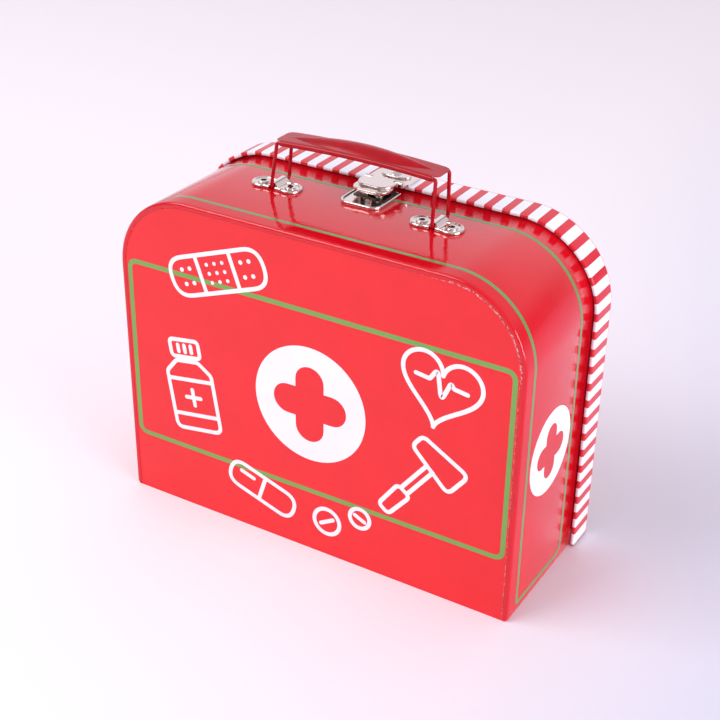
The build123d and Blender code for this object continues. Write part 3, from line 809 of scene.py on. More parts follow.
class DOCTORCASE_OT_stage(bpy.types.Operator):
    """Sets up the floor, the soft studio light and the camera"""

    bl_idname = "doctor_case.stage"
    bl_label = "Stage"

    def execute(self, context):
        settings = context.scene.doctor_case_stage
        self.add_camera(context)
        self.add_floor(context, settings)
        self.add_sky(context, settings)
        target = Vector((0, 0, 80 * MM))
        # Each light's place and size in metres, and its power.
        lights = (
            ("key_light", (-0.95, -0.95, 1.42), (1.5, 0.95), settings.key_power),
            ("side_light", (1.5, -0.35, 0.2), (1.0, 1.0), settings.side_power),
        )
        for name, place, size, power in lights:
            light = bpy.data.lights.new(name, "AREA")
            light.shape = "RECTANGLE"
            light.size, light.size_y = size
            light.energy = power
            lamp = bpy.data.objects.new(name, light)
            lamp.location = place
            aim = target - Vector(place)
            lamp.rotation_euler = aim.to_track_quat("-Z", "Y").to_euler()
            context.scene.collection.objects.link(lamp)
        context.scene.view_settings.view_transform = "Standard"
        return {"FINISHED"}

    def add_camera(self, context):
        """The camera that was solved from the case's edges in the photograph."""
        camera = bpy.data.cameras.new("camera")
        camera.sensor_width = SENSOR
        camera.lens = LENS
        holder = bpy.data.objects.new("camera", camera)
        stand = Matrix.Translation(CAMERA_PLACE)
        for degrees, axis in ((CAMERA_AZIMUTH, "Z"), (90 - CAMERA_DOWN, "X"), (CAMERA_ROLL, "Z")):
            stand = stand @ Matrix.Rotation(math.radians(degrees), 4, axis)
        holder.matrix_world = stand
        context.scene.collection.objects.link(holder)
        context.scene.camera = holder

    def add_floor(self, context, settings):
        """A wide sheet of background paper, a hair under the ground so that the case's foot stays clear."""
        reach = 6.0
        below = -0.05 * MM
        mesh = bpy.data.meshes.new("floor")
        mesh.from_pydata([(-reach, -reach, below), (reach, -reach, below), (reach, reach, below),
                          (-reach, reach, below)], [], [(0, 1, 2, 3)])
        mesh.materials.append(studio_paper("studio background paper", settings.floor_colour,
                                           settings.floor_painted_shade))
        floor = bpy.data.objects.new("floor", mesh)
        context.scene.collection.objects.link(floor)

    def add_sky(self, context, settings):
        """Light from all round, as in a room with a white wall behind the case.

        It is dim from the ceiling and from behind the camera, and dark in a low band at the right.
        """
        world = bpy.data.worlds.new("white room")
        world.use_nodes = True
        tree = world.node_tree
        tree.nodes.clear()
        output = add_node(tree, "ShaderNodeOutputWorld")
        way = add_node(tree, "ShaderNodeTexCoord").outputs["Generated"]
        parts = add_node(tree, "ShaderNodeSeparateXYZ", inputs={"Vector": way})
        smooth = {"interpolation_type": "SMOOTHSTEP"}
        # The ranges are of the direction that the light comes from, as parts of a step of length 1.
        length = add_node(tree, "ShaderNodeMapRange", smooth, {
            "Value": parts.outputs["Y"], "From Min": -0.6, "From Max": 0.5,
            "To Min": settings.room_front, "To Max": settings.room_back})
        right = add_node(tree, "ShaderNodeMapRange", smooth, {
            "Value": parts.outputs["Z"], "From Min": 0.1, "From Max": 0.4,
            "To Min": settings.room_low, "To Max": settings.room_right})
        walls = add_node(tree, "ShaderNodeMapRange", smooth, {
            "Value": parts.outputs["X"], "From Min": 0.0, "From Max": 0.55,
            "To Min": length.outputs[0], "To Max": right.outputs[0]})
        strength = add_node(tree, "ShaderNodeMapRange", smooth, {
            "Value": parts.outputs["Z"], "From Min": 0.45, "From Max": 0.8,
            "To Min": walls.outputs[0], "To Max": settings.room_top})
        light = add_node(tree, "ShaderNodeBackground", inputs={
            "Color": with_alpha(settings.sky_colour), "Strength": strength.outputs[0]})
        tree.links.new(light.outputs[0], output.inputs["Surface"])
        context.scene.world = world


class DOCTORCASE_OT_boards(bpy.types.Operator):
    """Finishes the boards and their linings, which show when the lid is open"""

    bl_idname = "doctor_case.boards"
    bl_label = "Boards and linings"

    def execute(self, context):
        dress(("front_board", "wall_board", "bottom_board", "lid_board", "rim_board"),
              finished("recycled grey board", grey_board))
        dress(("front_lining", "wall_lining", "lid_lining"), finished("uncoated wove paper", wove_paper))
        dress(("bottom_paper", "lid_cover_paper"), wall_film())
        return {"FINISHED"}


class DOCTORCASE_OT_wall_cover(bpy.types.Operator):
    """Wraps the sides and top in gloss paper, turned in over the front edge"""

    bl_idname = "doctor_case.wall_cover"
    bl_label = "Wall cover"

    notch_pitch: bpy.props.FloatProperty(
        name="Notch pitch", description="Distance between the snips round the corners",
        subtype="DISTANCE", default=8.5 * MM, min=4 * MM, max=20 * MM)

    def execute(self, context):
        down = (0.25, 0.5, 0.75, 1.0)
        rings = [self.foot_ring(-1, t) for t in reversed(down)]
        rings += [self.ring(distance, notch) for distance, notch in self.stations()]
        rings += [self.foot_ring(1, t) for t in down]
        cover = add_piece("wall_cover", skin(rings), [wall_film()], "case", ["wall_paper"])
        self.mark_rubbed_edge(cover.data)
        return {"FINISHED"}

    def stations(self):
        """Distances along the outline with how far each is notched, closer together in the corners."""
        rise = HEIGHT - CORNER_RADIUS - FOOT_RADIUS
        quarter = CORNER_RADIUS * math.pi / 2
        whole = outline_length(0.0, FOOT_RADIUS)
        half_snip = 0.3 * MM
        straight_step = 8 * MM
        left = [(d, 0.0) for d in even_steps(0.0, rise, straight_step)]
        count = round(quarter / self.notch_pitch)
        for k in range(count):
            start = rise + quarter * k / count
            end = rise + quarter * (k + 1) / count
            middle = (start + end) / 2
            left += [(d, 0.0) for d in even_steps(start, middle - half_snip, ARC_STEP * CORNER_RADIUS)[1:]]
            left.append((middle, 1.0))
            left += [(d, 0.0) for d in even_steps(middle + half_snip, end, ARC_STEP * CORNER_RADIUS)]
        left += [(d, 0.0) for d in even_steps(rise + quarter, whole / 2, straight_step)[1:-1]]
        right = [(whole - d, notch) for d, notch in reversed(left)]
        return left + [(whole / 2, 0.0)] + right

    def section(self, notch):
        """The paper's cross-section as (inset from the outer face, y), which a notch cuts back."""
        lip = TURN_IN - notch * 0.35 * MM
        sink = notch * 0.1 * MM
        eased = 0.3 * MM
        # The lip's eased end in millimetres, as (short of it, behind the front face).
        lip_end = ((0.6, 0.02), (0.2, 0.1), (0.0, 0.28))
        outer = [(eased, BODY_BACK_Y), (0.3 * eased, BODY_BACK_Y - 0.3 * eased), (0.0, BODY_BACK_Y - eased)]
        outer += arc((BEAD_RADIUS, FRONT_Y + BEAD_RADIUS), BEAD_RADIUS, 180, 270, 8)
        outer += [(lip - short * MM, FRONT_Y + behind * MM + sink) for short, behind in lip_end]
        # Inside, the paper follows the board's rounded edge and then covers the wall's back end.
        inner = [(lip, BOARD_FRONT_Y), (1.0 * MM, BOARD_FRONT_Y), (0.5 * MM, BOARD_FRONT_Y + 0.15 * MM),
                 (PAPER, BOARD_FRONT_Y + 0.7 * MM), (PAPER, BODY_BACK_Y - PAPER),
                 (LINED_WALL, BODY_BACK_Y - PAPER), (LINED_WALL, BODY_BACK_Y)]
        return outer + inner

    def ring(self, distance, notch):
        spot, outward = outline(distance, 0.0, FOOT_RADIUS)
        return [(spot.x - inset * outward.x, y, spot.y - inset * outward.y)
                for inset, y in self.section(notch)]

    def foot_ring(self, side, t):
        """A ring in the rounded foot, from its top at t = 0 to the ground paper at t = 1."""
        last = math.asin((FOOT_RADIUS - PAPER) / FOOT_RADIUS)
        centre = HALF_WIDTH - FOOT_RADIUS
        outer = Vector((centre + FOOT_RADIUS * math.cos(t * last),
                        FOOT_RADIUS * (1 - math.sin(t * last))))
        inner = Vector((HALF_WIDTH - TURN_IN, FOOT_RADIUS + (PAPER - FOOT_RADIUS) * t))
        ring = []
        for inset, y in self.section(0.0):
            spot = outer.lerp(inner, inset / TURN_IN)
            ring.append((side * spot.x, y, spot.y))
        return ring

    def mark_rubbed_edge(self, mesh):
        """Notes where the folded edge is rubbed: the inner edge of its lip round the right corner."""
        rubbed = mesh.attributes.new("rubbed", "FLOAT", "POINT")
        corner = Vector((HALF_WIDTH - CORNER_RADIUS, HEIGHT - CORNER_RADIUS))
        worn_width = 1.0 * MM
        lowest = corner.y - 12 * MM
        wear = 0.9
        for vertex, mark in zip(mesh.vertices, rubbed.data):
            x, y, z = vertex.co
            from_centre = (Vector((x, z)) - corner).length
            on_lip = y < BOARD_FRONT_Y and from_centre < CORNER_RADIUS - TURN_IN + worn_width
            mark.value = wear if on_lip and x > corner.x and z > lowest else 0.0


class DOCTORCASE_OT_wall_print(bpy.types.Operator):
    """Prints the green lines and the discs on the sides and top"""

    bl_idname = "doctor_case.wall_print"
    bl_label = "Wall print"

    front_line_y: bpy.props.FloatProperty(
        name="Front line", description="Depth of the line next to the front", subtype="DISTANCE",
        default=-31.3 * MM)
    back_line_y: bpy.props.FloatProperty(
        name="Back line", description="Depth of the line next to the rim", subtype="DISTANCE",
        default=13.5 * MM)
    foot_line_z: bpy.props.FloatProperty(
        name="Foot line", description="Height of the line at the foot", subtype="DISTANCE",
        default=4.9 * MM)
    disc_y: bpy.props.FloatProperty(
        name="Disc depth", description="Middle of the side discs", subtype="DISTANCE", default=-8.4 * MM)
    disc_z: bpy.props.FloatProperty(
        name="Disc height", description="Middle of the side discs", subtype="DISTANCE", default=70.3 * MM)

    def execute(self, context):
        inks = context.scene.doctor_case_print
        whole = outline_length(0.0, 0.0)
        left, right = self.foot_line_z, whole - self.foot_line_z
        front, back = self.front_line_y, self.back_line_y
        between = (front + back) / 2
        front_corner = 2.0 * MM
        back_corner = 6.0 * MM
        step = 1.2 * MM
        to_left = rounded([(whole / 2, front), (left, front), (left, between)], front_corner)
        over = rounded([(left, between), (left, back), (right, back), (right, between)], back_corner)
        from_right = rounded([(right, between), (right, front), (whole / 2, front)], front_corner)
        path = divided(to_left[:-1] + over[:-1] + from_right[:-1], step, closed=True)
        green = finished("green ink under gloss film", laminated_paper, inks.wall_green, *GLOSS)
        white = finished("white paper under gloss film", laminated_paper, inks.white, *GLOSS)
        red = wall_film()
        add_piece("wall_lines", ribbon(path, inks.wall_line, on_wall, GREEN_LIFT, closed=True), [green],
                  "case")
        centres = [Vector((along, self.disc_y)) for along in (self.disc_z, whole - self.disc_z)]
        discs = [patch(circle(centre, inks.side_disc), on_wall, WHITE_LIFT) for centre in centres]
        add_piece("side_discs", joined(discs), [white], "case")
        reach, arm = inks.side_disc * CROSS_REACH, inks.side_disc * SIDE_CROSS_ARM
        crosses = [patch(cross_path(centre, reach, arm), on_wall, RED_LIFT) for centre in centres]
        add_piece("side_crosses", joined(crosses), [red], "case")
        return {"FINISHED"}


class DOCTORCASE_OT_front_sheet(bpy.types.Operator):
    """Pastes the printed sheet on the front, with its border, disc and line figures"""

    bl_idname = "doctor_case.front_sheet"
    bl_label = "Front sheet"

    gap: bpy.props.FloatProperty(
        name="Gap", description="Between the folded edge's lip and the sheet", subtype="DISTANCE",
        default=0.04 * MM, min=0.0, max=0.5 * MM)
    disc_z: bpy.props.FloatProperty(
        name="Disc height", description="Middle of the disc", subtype="DISTANCE", default=76.1 * MM)
    edge_wear: bpy.props.FloatProperty(
        name="Edge wear", description="How far the sheet's right edge is rubbed to white", subtype="FACTOR",
        default=0.9, min=0.0, max=1.0)

    def execute(self, context):
        inks = context.scene.doctor_case_print
        self.add_sheet()
        green = finished("green ink under satin film", laminated_paper, inks.green, *SATIN)
        white = finished("white paper under satin film", laminated_paper, inks.white, *SATIN)
        border = round_box(BORDER_HALF, BORDER_LOW, BORDER_HIGH, BORDER_CORNER)
        add_piece("front_border", ribbon(border, inks.border_line, on_front, GREEN_LIFT, closed=True),
                  [green], "case")
        centre = Vector((0.0, self.disc_z))
        add_piece("front_disc", patch(circle(centre, inks.front_disc, 160), on_front, WHITE_LIFT), [white],
                  "case")
        cross = cross_path(centre, inks.front_disc * CROSS_REACH, inks.front_disc * FRONT_CROSS_ARM)
        add_piece("front_cross", patch(cross, on_front, RED_LIFT), [front_film()], "case")
        figures = []
        for k, (path, kind) in enumerate(self.figures()):
            lift = WHITE_LIFT + k % STROKE_LEVELS * STROKE_STEP
            if kind == "dot":
                figures.append(patch(path, on_front, lift))
            else:
                figures.append(ribbon(path, inks.figure_line, on_front, lift, kind == "loop"))
        add_piece("front_figures", joined(figures), [white], "case")
        return {"FINISHED"}

    def add_sheet(self):
        """The sheet itself. Its cut edge is eased, and rubbed to the white of the paper on the right."""
        rings = []
        eased = 0.2 * MM
        steps = 40
        section = ((0.0, BOARD_FRONT_Y), (0.0, PRINT_Y + 0.05 * MM), (eased, PRINT_Y), (1.5 * eased, PRINT_Y))
        for inset, y in section:
            outset = -(TURN_IN + self.gap + inset)
            whole = outline_length(outset, PAPER)
            rise = HEIGHT - CORNER_RADIUS - PAPER
            quarter = (CORNER_RADIUS + outset) * math.pi / 2
            along = [0.0] + [rise + quarter * k / steps for k in range(steps + 1)]
            along += [whole - d for d in reversed(along)]
            spots = [outline(d, outset, PAPER)[0] for d in along]
            rings.append([(spot.x, y, spot.y) for spot in spots])
        sheet = add_piece("front_sheet", skin(rings), [front_film()], "case", ["front_print"])
        rubbed = sheet.data.attributes.new("rubbed", "FLOAT", "POINT")
        at_edge = 3 * len(rings[0])
        for index, (vertex, mark) in enumerate(zip(sheet.data.vertices, rubbed.data)):
            right = vertex.co.x > HALF_WIDTH - CORNER_RADIUS
            mark.value = self.edge_wear if right and index < at_edge else 0.0

    def figures(self):
        """The figures set round the disc, each line or area as (path, kind)."""
        # Each one's middle in millimetres, its tilt in degrees and its paths, drawn in millimetres.
        layout = (
            ((-47, 127), 20, self.plaster()),
            ((63, 104.5), -8, self.heart()),
            ((-64, 66), 9, self.bottle()),
            ((53, 56), -38, self.hammer()),
            ((-26, 23), -18, self.capsule()),
            ((9, 18), 30, self.tablet(6.6)),
            ((26, 26), -25, self.tablet(5.0)),
        )
        made = []
        for centre, tilt, drawn in layout:
            turn = Matrix.Rotation(math.radians(tilt), 2)
            for path, kind in drawn:
                made.append(([Vector(centre) * MM + turn @ (Vector(p) * MM) for p in path], kind))
        return made

    def plaster(self):
        """A sticking plaster with its pad and air holes."""
        strip = round_box(26, -9, 9, 8.5)
        lines = [([(x, -8.6), (x, 8.6)], "line") for x in (-9.5, 9.5)]
        holes = [(circle((x, y), 1.05, 16), "dot") for x in (-19, -14.5, 14.5, 19) for y in (-3.4, 3.4)]
        pad = [(circle((x, y), 0.9, 16), "dot") for x in (-4.4, 0, 4.4) for y in (-4.2, 0.0, 4.2)]
        return [(strip, "loop")] + lines + holes + pad

    def heart(self):
        """A heart, by the usual curve of sines and cosines, with a pulse line across it."""
        scale = 1.15
        around = [0.0] + [0.3 + i * (math.pi - 0.5) / 48 for i in range(49)] + [math.pi]
        half = [(scale * 16 * math.sin(t) ** 3,
                 scale * (13 * math.cos(t) - 5 * math.cos(2 * t) - 2 * math.cos(3 * t) - math.cos(4 * t)))
                for t in around]
        other_half = [(-x, z) for x, z in half]
        pulse = rounded([(-12, 2), (-5.5, 2), (-2.8, 7.8), (1.2, -6), (4, 4), (5.8, 2), (12, 2)], 1.1)
        return [(half, "line"), (other_half, "line"), (pulse, "line")]

    def bottle(self):
        """A medicine bottle with a label and a screw cap."""
        sides = [(-12.5, -23), (12.5, -23), (12.5, 6), (6, 12), (-6, 12), (-12.5, 6)]
        cap = round_box(8, 14, 22.5, 2.2)
        ridges = [([(x, 16.6), (x, 19.8)], "line") for x in (-3.6, 0.0, 3.6)]
        label = [([(-12.2, y), (12.2, y)], "line") for y in (-15.5, 2.5)]
        plus = [([(-4, -6.5), (4, -6.5)], "line"), ([(0, -10.5), (0, -2.5)], "line")]
        return [(rounded(sides, 3.5, closed=True), "loop"), (cap, "loop")] + ridges + label + plus

    def hammer(self):
        """A reflex hammer: a rubber wedge on a handle."""
        head = rounded([(-12, 20), (13, 23.5), (13, 8.5), (-12, 12)], 3.2, closed=True)
        neck = [([(-1.6, 10.6), (-1.6, -8)], "line"), ([(2.2, 10.2), (2.2, -8)], "line")]
        grip = rounded([(-3.4, -9), (4, -9), (3.4, -25), (-2.8, -25)], 2.4, closed=True)
        return [(head, "loop"), (grip, "loop")] + neck

    def capsule(self):
        """A two-part capsule."""
        shell = round_box(18, -6.6, 6.6, 6.5)
        seam = ([(0, -6.4), (0, 6.4)], "line")
        shine = ([(-12.5, 2.4), (-5.5, 2.4)], "line")
        return [(shell, "loop"), seam, shine]

    def tablet(self, radius):
        """A round tablet with its score."""
        return [(circle((0, 0), radius, 64), "loop"), ([(-radius * 0.55, 0), (radius * 0.55, 0)], "line")]


class DOCTORCASE_OT_rim_cover(bpy.types.Operator):
    """Wraps the lid's rim in striped paper, turned over its front edge"""

    bl_idname = "doctor_case.rim_cover"
    bl_label = "Rim cover"

    def execute(self, context):
        settings = context.scene.doctor_case_rim
        whole = outline_length(RIM_SKIN, RIM_BOTTOM)
        marks = self.stripe_edges(settings, whole)
        ends = [share * RIM_END_FOLD for share in (0.0, 1 / 6, 0.5, 1.0)]
        cuts = sorted(set(ends + [whole - end for end in ends] + [mark for pair in marks for mark in pair]))
        along = []
        for start, end in zip(cuts, cuts[1:]):
            along += even_steps(start, end, ARC_STEP * CORNER_RADIUS)[:-1]
        along.append(whole)
        shape = skin([self.ring(distance, whole) for distance in along])
        inks = [finished(f"{ink} under gloss film, rim", laminated_paper, colour, *RIM_GLOSS)
                for ink, colour in (("white paper", settings.white), ("red ink", settings.red))]
        cover = add_piece("rim_cover", shape, inks, "lid", ["rim_paper"])
        self.colour_stripes(cover.data, along, marks, whole)
        return {"FINISHED"}

    def stripe_edges(self, settings, whole):
        """Start and end of every red stripe along the rim's outer face."""
        half = settings.pitch * settings.red_share / 2
        narrowest = 0.5 * MM
        count = int(whole / settings.pitch) + 1
        middles = [whole - settings.first_stripe - k * settings.pitch for k in range(count)]
        pairs = [(max(middle - half, 0.0), min(middle + half, whole)) for middle in middles]
        return [(start, end) for start, end in pairs if end - start > narrowest]

    def ring(self, distance, whole):
        """The paper's cross-section, drawn in at both feet where the strip's end is folded under."""
        spot, outward = outline(distance, RIM_SKIN, RIM_BOTTOM)
        to_end = min(distance, whole - distance)
        reach = math.sqrt(1 - (1 - min(to_end / RIM_END_FOLD, 1.0)) ** 2)
        middle = (RIM_SKIN + RIM_CLEARANCE) / 2
        thinnest = 0.55
        shrink = thinnest + (1 - thinnest) * reach
        ring = []
        for outset, y in self.section():
            outset = middle + (outset - middle) * (shrink if outset > middle else 1.0)
            further = outset - RIM_SKIN
            ring.append((spot.x + further * outward.x, y, spot.y + further * outward.y))
        return ring

    def section(self):
        """The paper's cross-section as (outset from the body's face, y)."""
        outer = [(RIM_SKIN, LID_BOARD_BACK_Y), (RIM_SKIN, RIM_FOLD_Y)]
        bead_y = RIM_FRONT_Y + RIM_BEAD_RADIUS
        outer += arc((RIM_SKIN - RIM_BEAD_RADIUS, bead_y), RIM_BEAD_RADIUS, 0, -90, 6)
        outer += arc((RIM_CLEARANCE + RIM_BEAD_RADIUS, bead_y), RIM_BEAD_RADIUS, -90, -180, 5)
        outer.append((RIM_CLEARANCE, RIM_FOLD_Y))
        inner = [(RIM_INNER, RIM_FOLD_Y), (RIM_INNER, RIM_FRONT_Y + 0.5 * MM),
                 (RIM_INNER + 0.3 * MM, RIM_FRONT_Y + PAPER), (RIM_OUTER - 0.5 * MM, RIM_FRONT_Y + PAPER),
                 (RIM_OUTER, RIM_FRONT_Y + 0.8 * MM), (RIM_OUTER, LID_BOARD_BACK_Y)]
        return outer + inner

    def colour_stripes(self, mesh, along, marks, whole):
        """Red for the stripes and for the folded ends, white for the rest."""
        size = len(self.section())
        for k in range(len(along) - 1):
            middle = (along[k] + along[k + 1]) / 2
            red = any(start < middle < end for start, end in marks)
            red = red or min(middle, whole - middle) < RIM_END_FOLD
            for i in range(size):
                mesh.polygons[k * size + i].material_index = int(red)
        for face in mesh.polygons[-2:]:
            face.material_index = 1


class DOCTORCASE_OT_hinge_cloth(bpy.types.Operator):
    """Glues the strip of book cloth that hinges the lid under the back edge"""

    bl_idname = "doctor_case.hinge_cloth"
    bl_label = "Hinge cloth"

    half_width: bpy.props.FloatProperty(
        name="Half width", description="Half the strip's length along the edge", subtype="DISTANCE",
        default=98.0 * MM)
    front_y: bpy.props.FloatProperty(
        name="Front", description="Where the strip starts under the body", subtype="DISTANCE",
        default=22.0 * MM)
    top_z: bpy.props.FloatProperty(
        name="Top", description="Where the strip ends on the lid's back", subtype="DISTANCE",
        default=15.0 * MM)

    def execute(self, context):
        back_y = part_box("hinge_cloth_lid_leaf")[1].y
        bend = 0.6 * MM
        middle = PAPER / 2
        path = [Vector((y, middle)) for y in even_steps(self.front_y, back_y - bend, 2 * MM)[:-1]]
        path += arc((back_y - bend, bend), bend - middle, -90, 0, 8)
        path += [Vector((back_y - middle, z)) for z in even_steps(bend, self.top_z, 2 * MM)[1:]]
        rings = []
        for i, spot in enumerate(path):
            ahead = path[min(i + 1, len(path) - 1)] - path[max(i - 1, 0)]
            side = Vector((ahead.y, -ahead.x)).normalized() * middle
            rings.append([(x, p.x, p.y) for x, p in (
                (-self.half_width, spot + side), (self.half_width, spot + side),
                (self.half_width, spot - side), (-self.half_width, spot - side))])
        cloth = add_piece("hinge_cloth", skin(rings), [finished("starched cotton book cloth", book_cloth)],
                          None, ["hinge_cloth_body_leaf", "hinge_cloth_lid_leaf"])
        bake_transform(cloth)
        return {"FINISHED"}


class DOCTORCASE_OT_handle(bpy.types.Operator):
    """Presses the grip from sheet, with a crown and rolled edges, and enamels it with its wire links"""

    bl_idname = "doctor_case.handle"
    bl_label = "Handle"

    roll_turn: bpy.props.FloatProperty(
        name="Roll", description="How far each edge is rolled round its wire", subtype="ANGLE",
        default=math.radians(265))
    roll_steps: bpy.props.IntProperty(
        name="Roll steps", description="Faces round each rolled edge", default=18, min=6, max=48)

    def execute(self, context):
        settings = context.scene.doctor_case_handle
        enamel = finished("gloss enamel on steel", enamelled_steel, settings.enamel)
        # The stations stand closer together past the rolls, where the sheet's corners are cut round.
        half_stations = even_steps(0.0, ROLL_HALF_LENGTH, 1.6 * MM)
        half_stations += even_steps(ROLL_HALF_LENGTH, GRIP_HALF_LENGTH, 0.3 * MM)[1:]
        stations = [-x for x in reversed(half_stations[1:])] + half_stations
        rows = [self.row(x, settings) for x in stations]
        roll = self.roll_steps
        sheet_end = len(rows[0]) - 1 - roll

        def kept(k, i):
            """The rolls stop before the sheet does."""
            in_roll = i < roll or i >= sheet_end
            return not in_roll or max(abs(stations[k]), abs(stations[k + 1])) < ROLL_HALF_LENGTH + 0.01 * MM

        add_piece("grip", bent_sheet(rows, kept, GRIP_SHEET), [enamel], "handle",
                  ["handle_grip"], sharp=32)
        dress(("handle_wire_left", "handle_wire_right"), enamel)
        return {"FINISHED"}

    def row(self, x, settings):
        """The middle of the sheet at x, from one roll over the crown to the other."""
        middle_y = (ROLL_FRONT_Y + ROLL_BACK_Y) / 2
        half = (ROLL_BACK_Y - ROLL_FRONT_Y) / 2
        share = max(1 - (x / settings.crown_half_length) ** 2, 0.0)
        narrowest = 0.3 * MM
        lens = max(half * share, narrowest)
        past = max(abs(x) - (GRIP_HALF_LENGTH - GRIP_CORNER), 0.0) / GRIP_CORNER
        cut = GRIP_CORNER * (1 - math.sqrt(max(1 - past**2, 0.0)))
        roll_z = ROLL_Z + ROLL_BOW * (1 - (x / ROLL_HALF_LENGTH) ** 2)
        top = roll_z + ROLL_RADIUS - GRIP_SHEET / 2
        reach = half - cut
        steps = 8
        beside = [lens + (reach - lens) * t for t in (0.33, 0.66)] + [reach]
        offsets = [-offset for offset in reversed(beside)]
        offsets += [lens * k / steps for k in range(-steps, steps + 1)] + beside
        sheet = [Vector((x, middle_y + offset,
                         top + settings.crown * share * (1 - min(abs(offset) / lens, 1.0) ** 2)))
                 for offset in offsets]
        turns = [self.roll_turn * (k + 1) / self.roll_steps for k in range(self.roll_steps)]
        front = [self.roll_spot(x, ROLL_FRONT_Y, roll_z, math.pi / 2 + turn) for turn in reversed(turns)]
        back = [self.roll_spot(x, ROLL_BACK_Y, roll_z, math.pi / 2 - turn) for turn in turns]
        return front + sheet + back

    def roll_spot(self, x, centre_y, centre_z, angle):
        """A place on the middle of the sheet in a rolled edge."""
        radius = ROLL_RADIUS - GRIP_SHEET / 2
        return Vector((x, centre_y + radius * math.cos(angle), centre_z + radius * math.sin(angle)))


class DOCTORCASE_OT_clips(bpy.types.Operator):
    """Presses the handle's clips: dished lobes with a rounded rim and a bridge, with dark discs of painted
    shade in the rivet bores
    """

    bl_idname = "doctor_case.clips"
    bl_label = "Handle clips"

    rim_height: bpy.props.FloatProperty(
        name="Rim", description="Height of the lobes' rounded rim over the case", subtype="DISTANCE",
        default=1.5 * MM, min=1.2 * MM, max=1.5 * MM)

    def execute(self, context):
        for middle, side in zip(CLIP_MIDDLES, ("left", "right")):
            shape = joined([self.lobe(middle, -1), self.lobe(middle, 1), self.bridge(middle)])
            add_piece(f"clip_{side}", shape, [bright_nickel()], "case", [f"handle_clip_{side}"])
        # Painted shade: dark discs at the floors of the rivet bores stand in for the shade in the holes.
        floor = (HEIGHT - 0.05 * MM, HEIGHT + 0.1 * MM)
        edges = [circle((middle + side * LOBE_X, CLIP_Y), RIVET_BORE, 32)
                 for middle in CLIP_MIDDLES for side in (-1, 1)]
        shade_floors = [skin([[(*spot, z) for spot in edge] for z in floor]) for edge in edges]
        add_piece("rivet_bore_shade", joined(shade_floors), [painted_shade_recess()], "case")
        return {"FINISHED"}

    def lobe(self, middle, side):
        """Half a clip: a ring-shaped skin round the rivet's hole, drawn out to the waist."""
        centre = Vector((middle + side * LOBE_X, CLIP_Y))
        # Over the rim and into the dish, as (share of the lobe's reach cut off, millimetres under the top).
        over_rim = ((0.0, 0.85), (0.015, 0.55), (0.05, 0.27), (0.1, 0.07), (0.155, 0.0), (0.205, 0.1),
                    (0.24, 0.35), (0.28, 0.52), (0.4, 0.6), (0.55, 0.6))
        top = HEIGHT + self.rim_height
        section = [(0.04, HEIGHT), (0.0, HEIGHT + 0.2 * MM)]
        section += [(inset, top - under * MM) for inset, under in over_rim]
        dish = section[-1][1]
        steps = 64
        angles = [2 * math.pi * k / steps for k in range(steps)]
        ways = [Vector((-side * math.cos(angle), math.sin(angle))) for angle in angles]
        edge = [self.lobe_reach(angle) * way for angle, way in zip(angles, ways)]
        rings = [[(*(centre + (1 - inset) * spot), z) for spot in edge] for inset, z in section]
        rings += [[(*(centre + CLIP_HOLE * way), z) for way in ways] for z in (dish, HEIGHT)]
        return skin(rings, loop=True)

    def lobe_reach(self, angle):
        """The outline's distance from the lobe's middle. Angle 0 points at the middle of the clip."""
        ahead, aside = math.cos(angle), abs(math.sin(angle))
        end = LOBE_X - WAIST_CUT
        if ahead > 0 and aside * end < WAIST_HALF * ahead:
            return end / ahead
        if ahead > 0 and aside * LOBE_RADIUS < WAIST_HALF:
            return WAIST_HALF / aside
        return LOBE_RADIUS

    def bridge(self, middle):
        """The fold over the wire: sloping flanks and a flat top between two pressed creases."""
        # Half of its outside and inside in millimetres, as (beside the middle, over the case).
        outer = [(2.8, 0.5), (2.75, 1.0), (2.5, 1.3), (1.35, 2.62), (1.12, 2.5), (0.9, 3.0)]
        inner = [(1.05, 0.5), (1.08, 0.9), (1.06, 1.35), (0.98, 1.8), (0.8, 2.15), (0.45, 2.4)]
        outer += [(-x, z) for x, z in reversed(outer)]
        inner += [(-x, z) for x, z in reversed(inner)]
        ends = ((BRIDGE_FRONT_Y, BRIDGE_BACK_Y), (BRIDGE_BACK_Y, BRIDGE_FRONT_Y))
        return skin([[(middle + x * MM, y, HEIGHT + z * MM) for (x, z), ys in zip(pair, ends) for y in ys]
                     for pair in zip(outer, inner)])


class DOCTORCASE_OT_latch_tray(bpy.types.Operator):
    """Presses the latch's base plate: a mirror-bright tray with a rounded bead round it"""

    bl_idname = "doctor_case.latch_tray"
    bl_label = "Latch tray"

    bead_width: bpy.props.FloatProperty(
        name="Bead", description="Width of the tray's rounded edge", subtype="DISTANCE",
        default=1.45 * MM, min=0.8 * MM, max=2.0 * MM)

    def execute(self, context):
        # Across the bead and into the tray, as (share of the bead's width, millimetres over the case).
        section = ((0.1, 0.0), (0.0, 0.15), (0.0, 0.95), (0.06, 1.25), (0.2, 1.42), (0.4, 1.5), (0.6, 1.44),
                   (0.78, 1.28), (0.9, 1.02), (1.0, 0.78), (1.25, 0.7))
        rings = []
        for inset, height in section:
            path = plate_path(TRAY_HALF, TRAY_FRONT_Y, TRAY_BACK_Y, TRAY_FRONT_RADIUS, TRAY_BACK_RADIUS,
                              inset * self.bead_width)
            rings.append([(spot.x, spot.y, HEIGHT + height * MM) for spot in path])
        add_piece("latch_tray", skin(rings), [bright_nickel()], "case", ["latch_base_plate"])
        return {"FINISHED"}


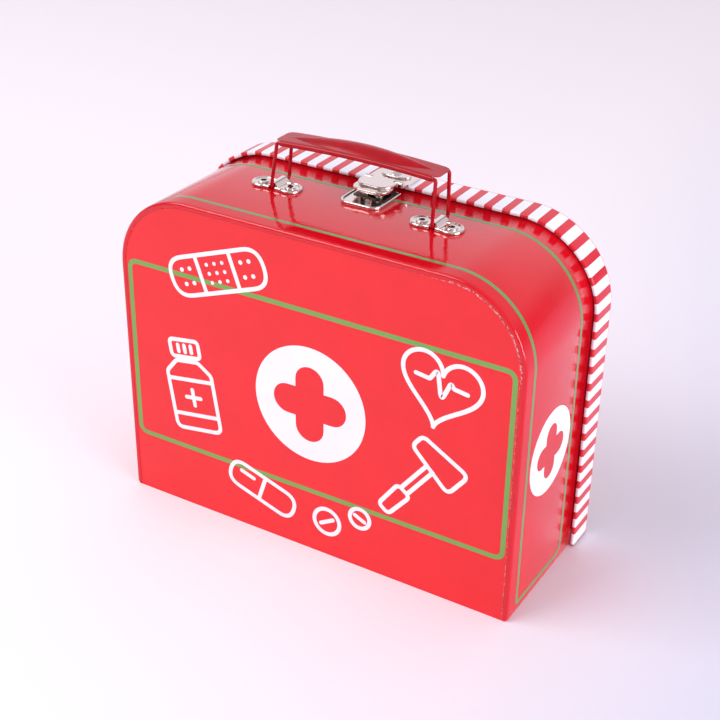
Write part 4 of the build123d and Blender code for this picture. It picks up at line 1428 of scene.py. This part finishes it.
class DOCTORCASE_OT_fittings(bpy.types.Operator):
    """Plates the latch, the hasp and the rivets with nickel, paints the keeper dark as its shade, and
    finishes the spring
    """

    bl_idname = "doctor_case.fittings"
    bl_label = "Metal fittings"

    def execute(self, context):
        plated = ("latch_rivets", "latch_backing_plate", "clip_rivets", "clip_washers",
                  "hasp_plate", "hasp_rivet", "hasp_pin", "latch_flap")
        dress(plated, bright_nickel())
        # Painted shade: the keeper is made dark, standing in for the shade under the flap.
        dress(("latch_keeper",), painted_shade_recess())
        dress(("catch_spring",), finished("tempered spring strip", tempered_steel))
        soften_edges(plated + ("latch_keeper",), context.scene.doctor_case_metal.edge_round)
        return {"FINISHED"}


class DOCTORCASE_PT_panel(bpy.types.Panel):
    """Lists the case's pieces and their settings"""

    bl_label = "Toy Doctor Case"
    bl_idname = "DOCTORCASE_PT_panel"
    bl_space_type = "VIEW_3D"
    bl_region_type = "UI"
    bl_category = "Doctor Case"

    def draw(self, context):
        layout = self.layout
        for operator in OPERATORS:
            layout.operator(operator.bl_idname)
        for group, pointer in SETTINGS.items():
            box = layout.box()
            box.label(text=pointer.replace("_", " "))
            for prop in group.__annotations__:
                box.prop(getattr(context.scene, pointer), prop)


SETTINGS = {
    DoctorCaseStage: "doctor_case_stage",
    DoctorCasePrint: "doctor_case_print",
    DoctorCaseRim: "doctor_case_rim",
    DoctorCaseHandle: "doctor_case_handle",
    DoctorCaseMetal: "doctor_case_metal",
}

OPERATORS = (
    DOCTORCASE_OT_stage,
    DOCTORCASE_OT_boards,
    DOCTORCASE_OT_wall_cover,
    DOCTORCASE_OT_wall_print,
    DOCTORCASE_OT_front_sheet,
    DOCTORCASE_OT_rim_cover,
    DOCTORCASE_OT_hinge_cloth,
    DOCTORCASE_OT_handle,
    DOCTORCASE_OT_clips,
    DOCTORCASE_OT_latch_tray,
    DOCTORCASE_OT_fittings,
)


def register():
    for group, pointer in SETTINGS.items():
        bpy.utils.register_class(group)
        setattr(bpy.types.Scene, pointer, bpy.props.PointerProperty(type=group))
    for operator in OPERATORS:
        bpy.utils.register_class(operator)
    bpy.utils.register_class(DOCTORCASE_PT_panel)


def unregister():
    bpy.utils.unregister_class(DOCTORCASE_PT_panel)
    for operator in reversed(OPERATORS):
        bpy.utils.unregister_class(operator)
    for group, pointer in SETTINGS.items():
        delattr(bpy.types.Scene, pointer)
        bpy.utils.unregister_class(group)


def main():
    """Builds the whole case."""
    register()
    for operator in OPERATORS:
        name = operator.bl_idname.split(".")[1]
        getattr(bpy.ops.doctor_case, name)()


if __name__ == "__main__":
    main()
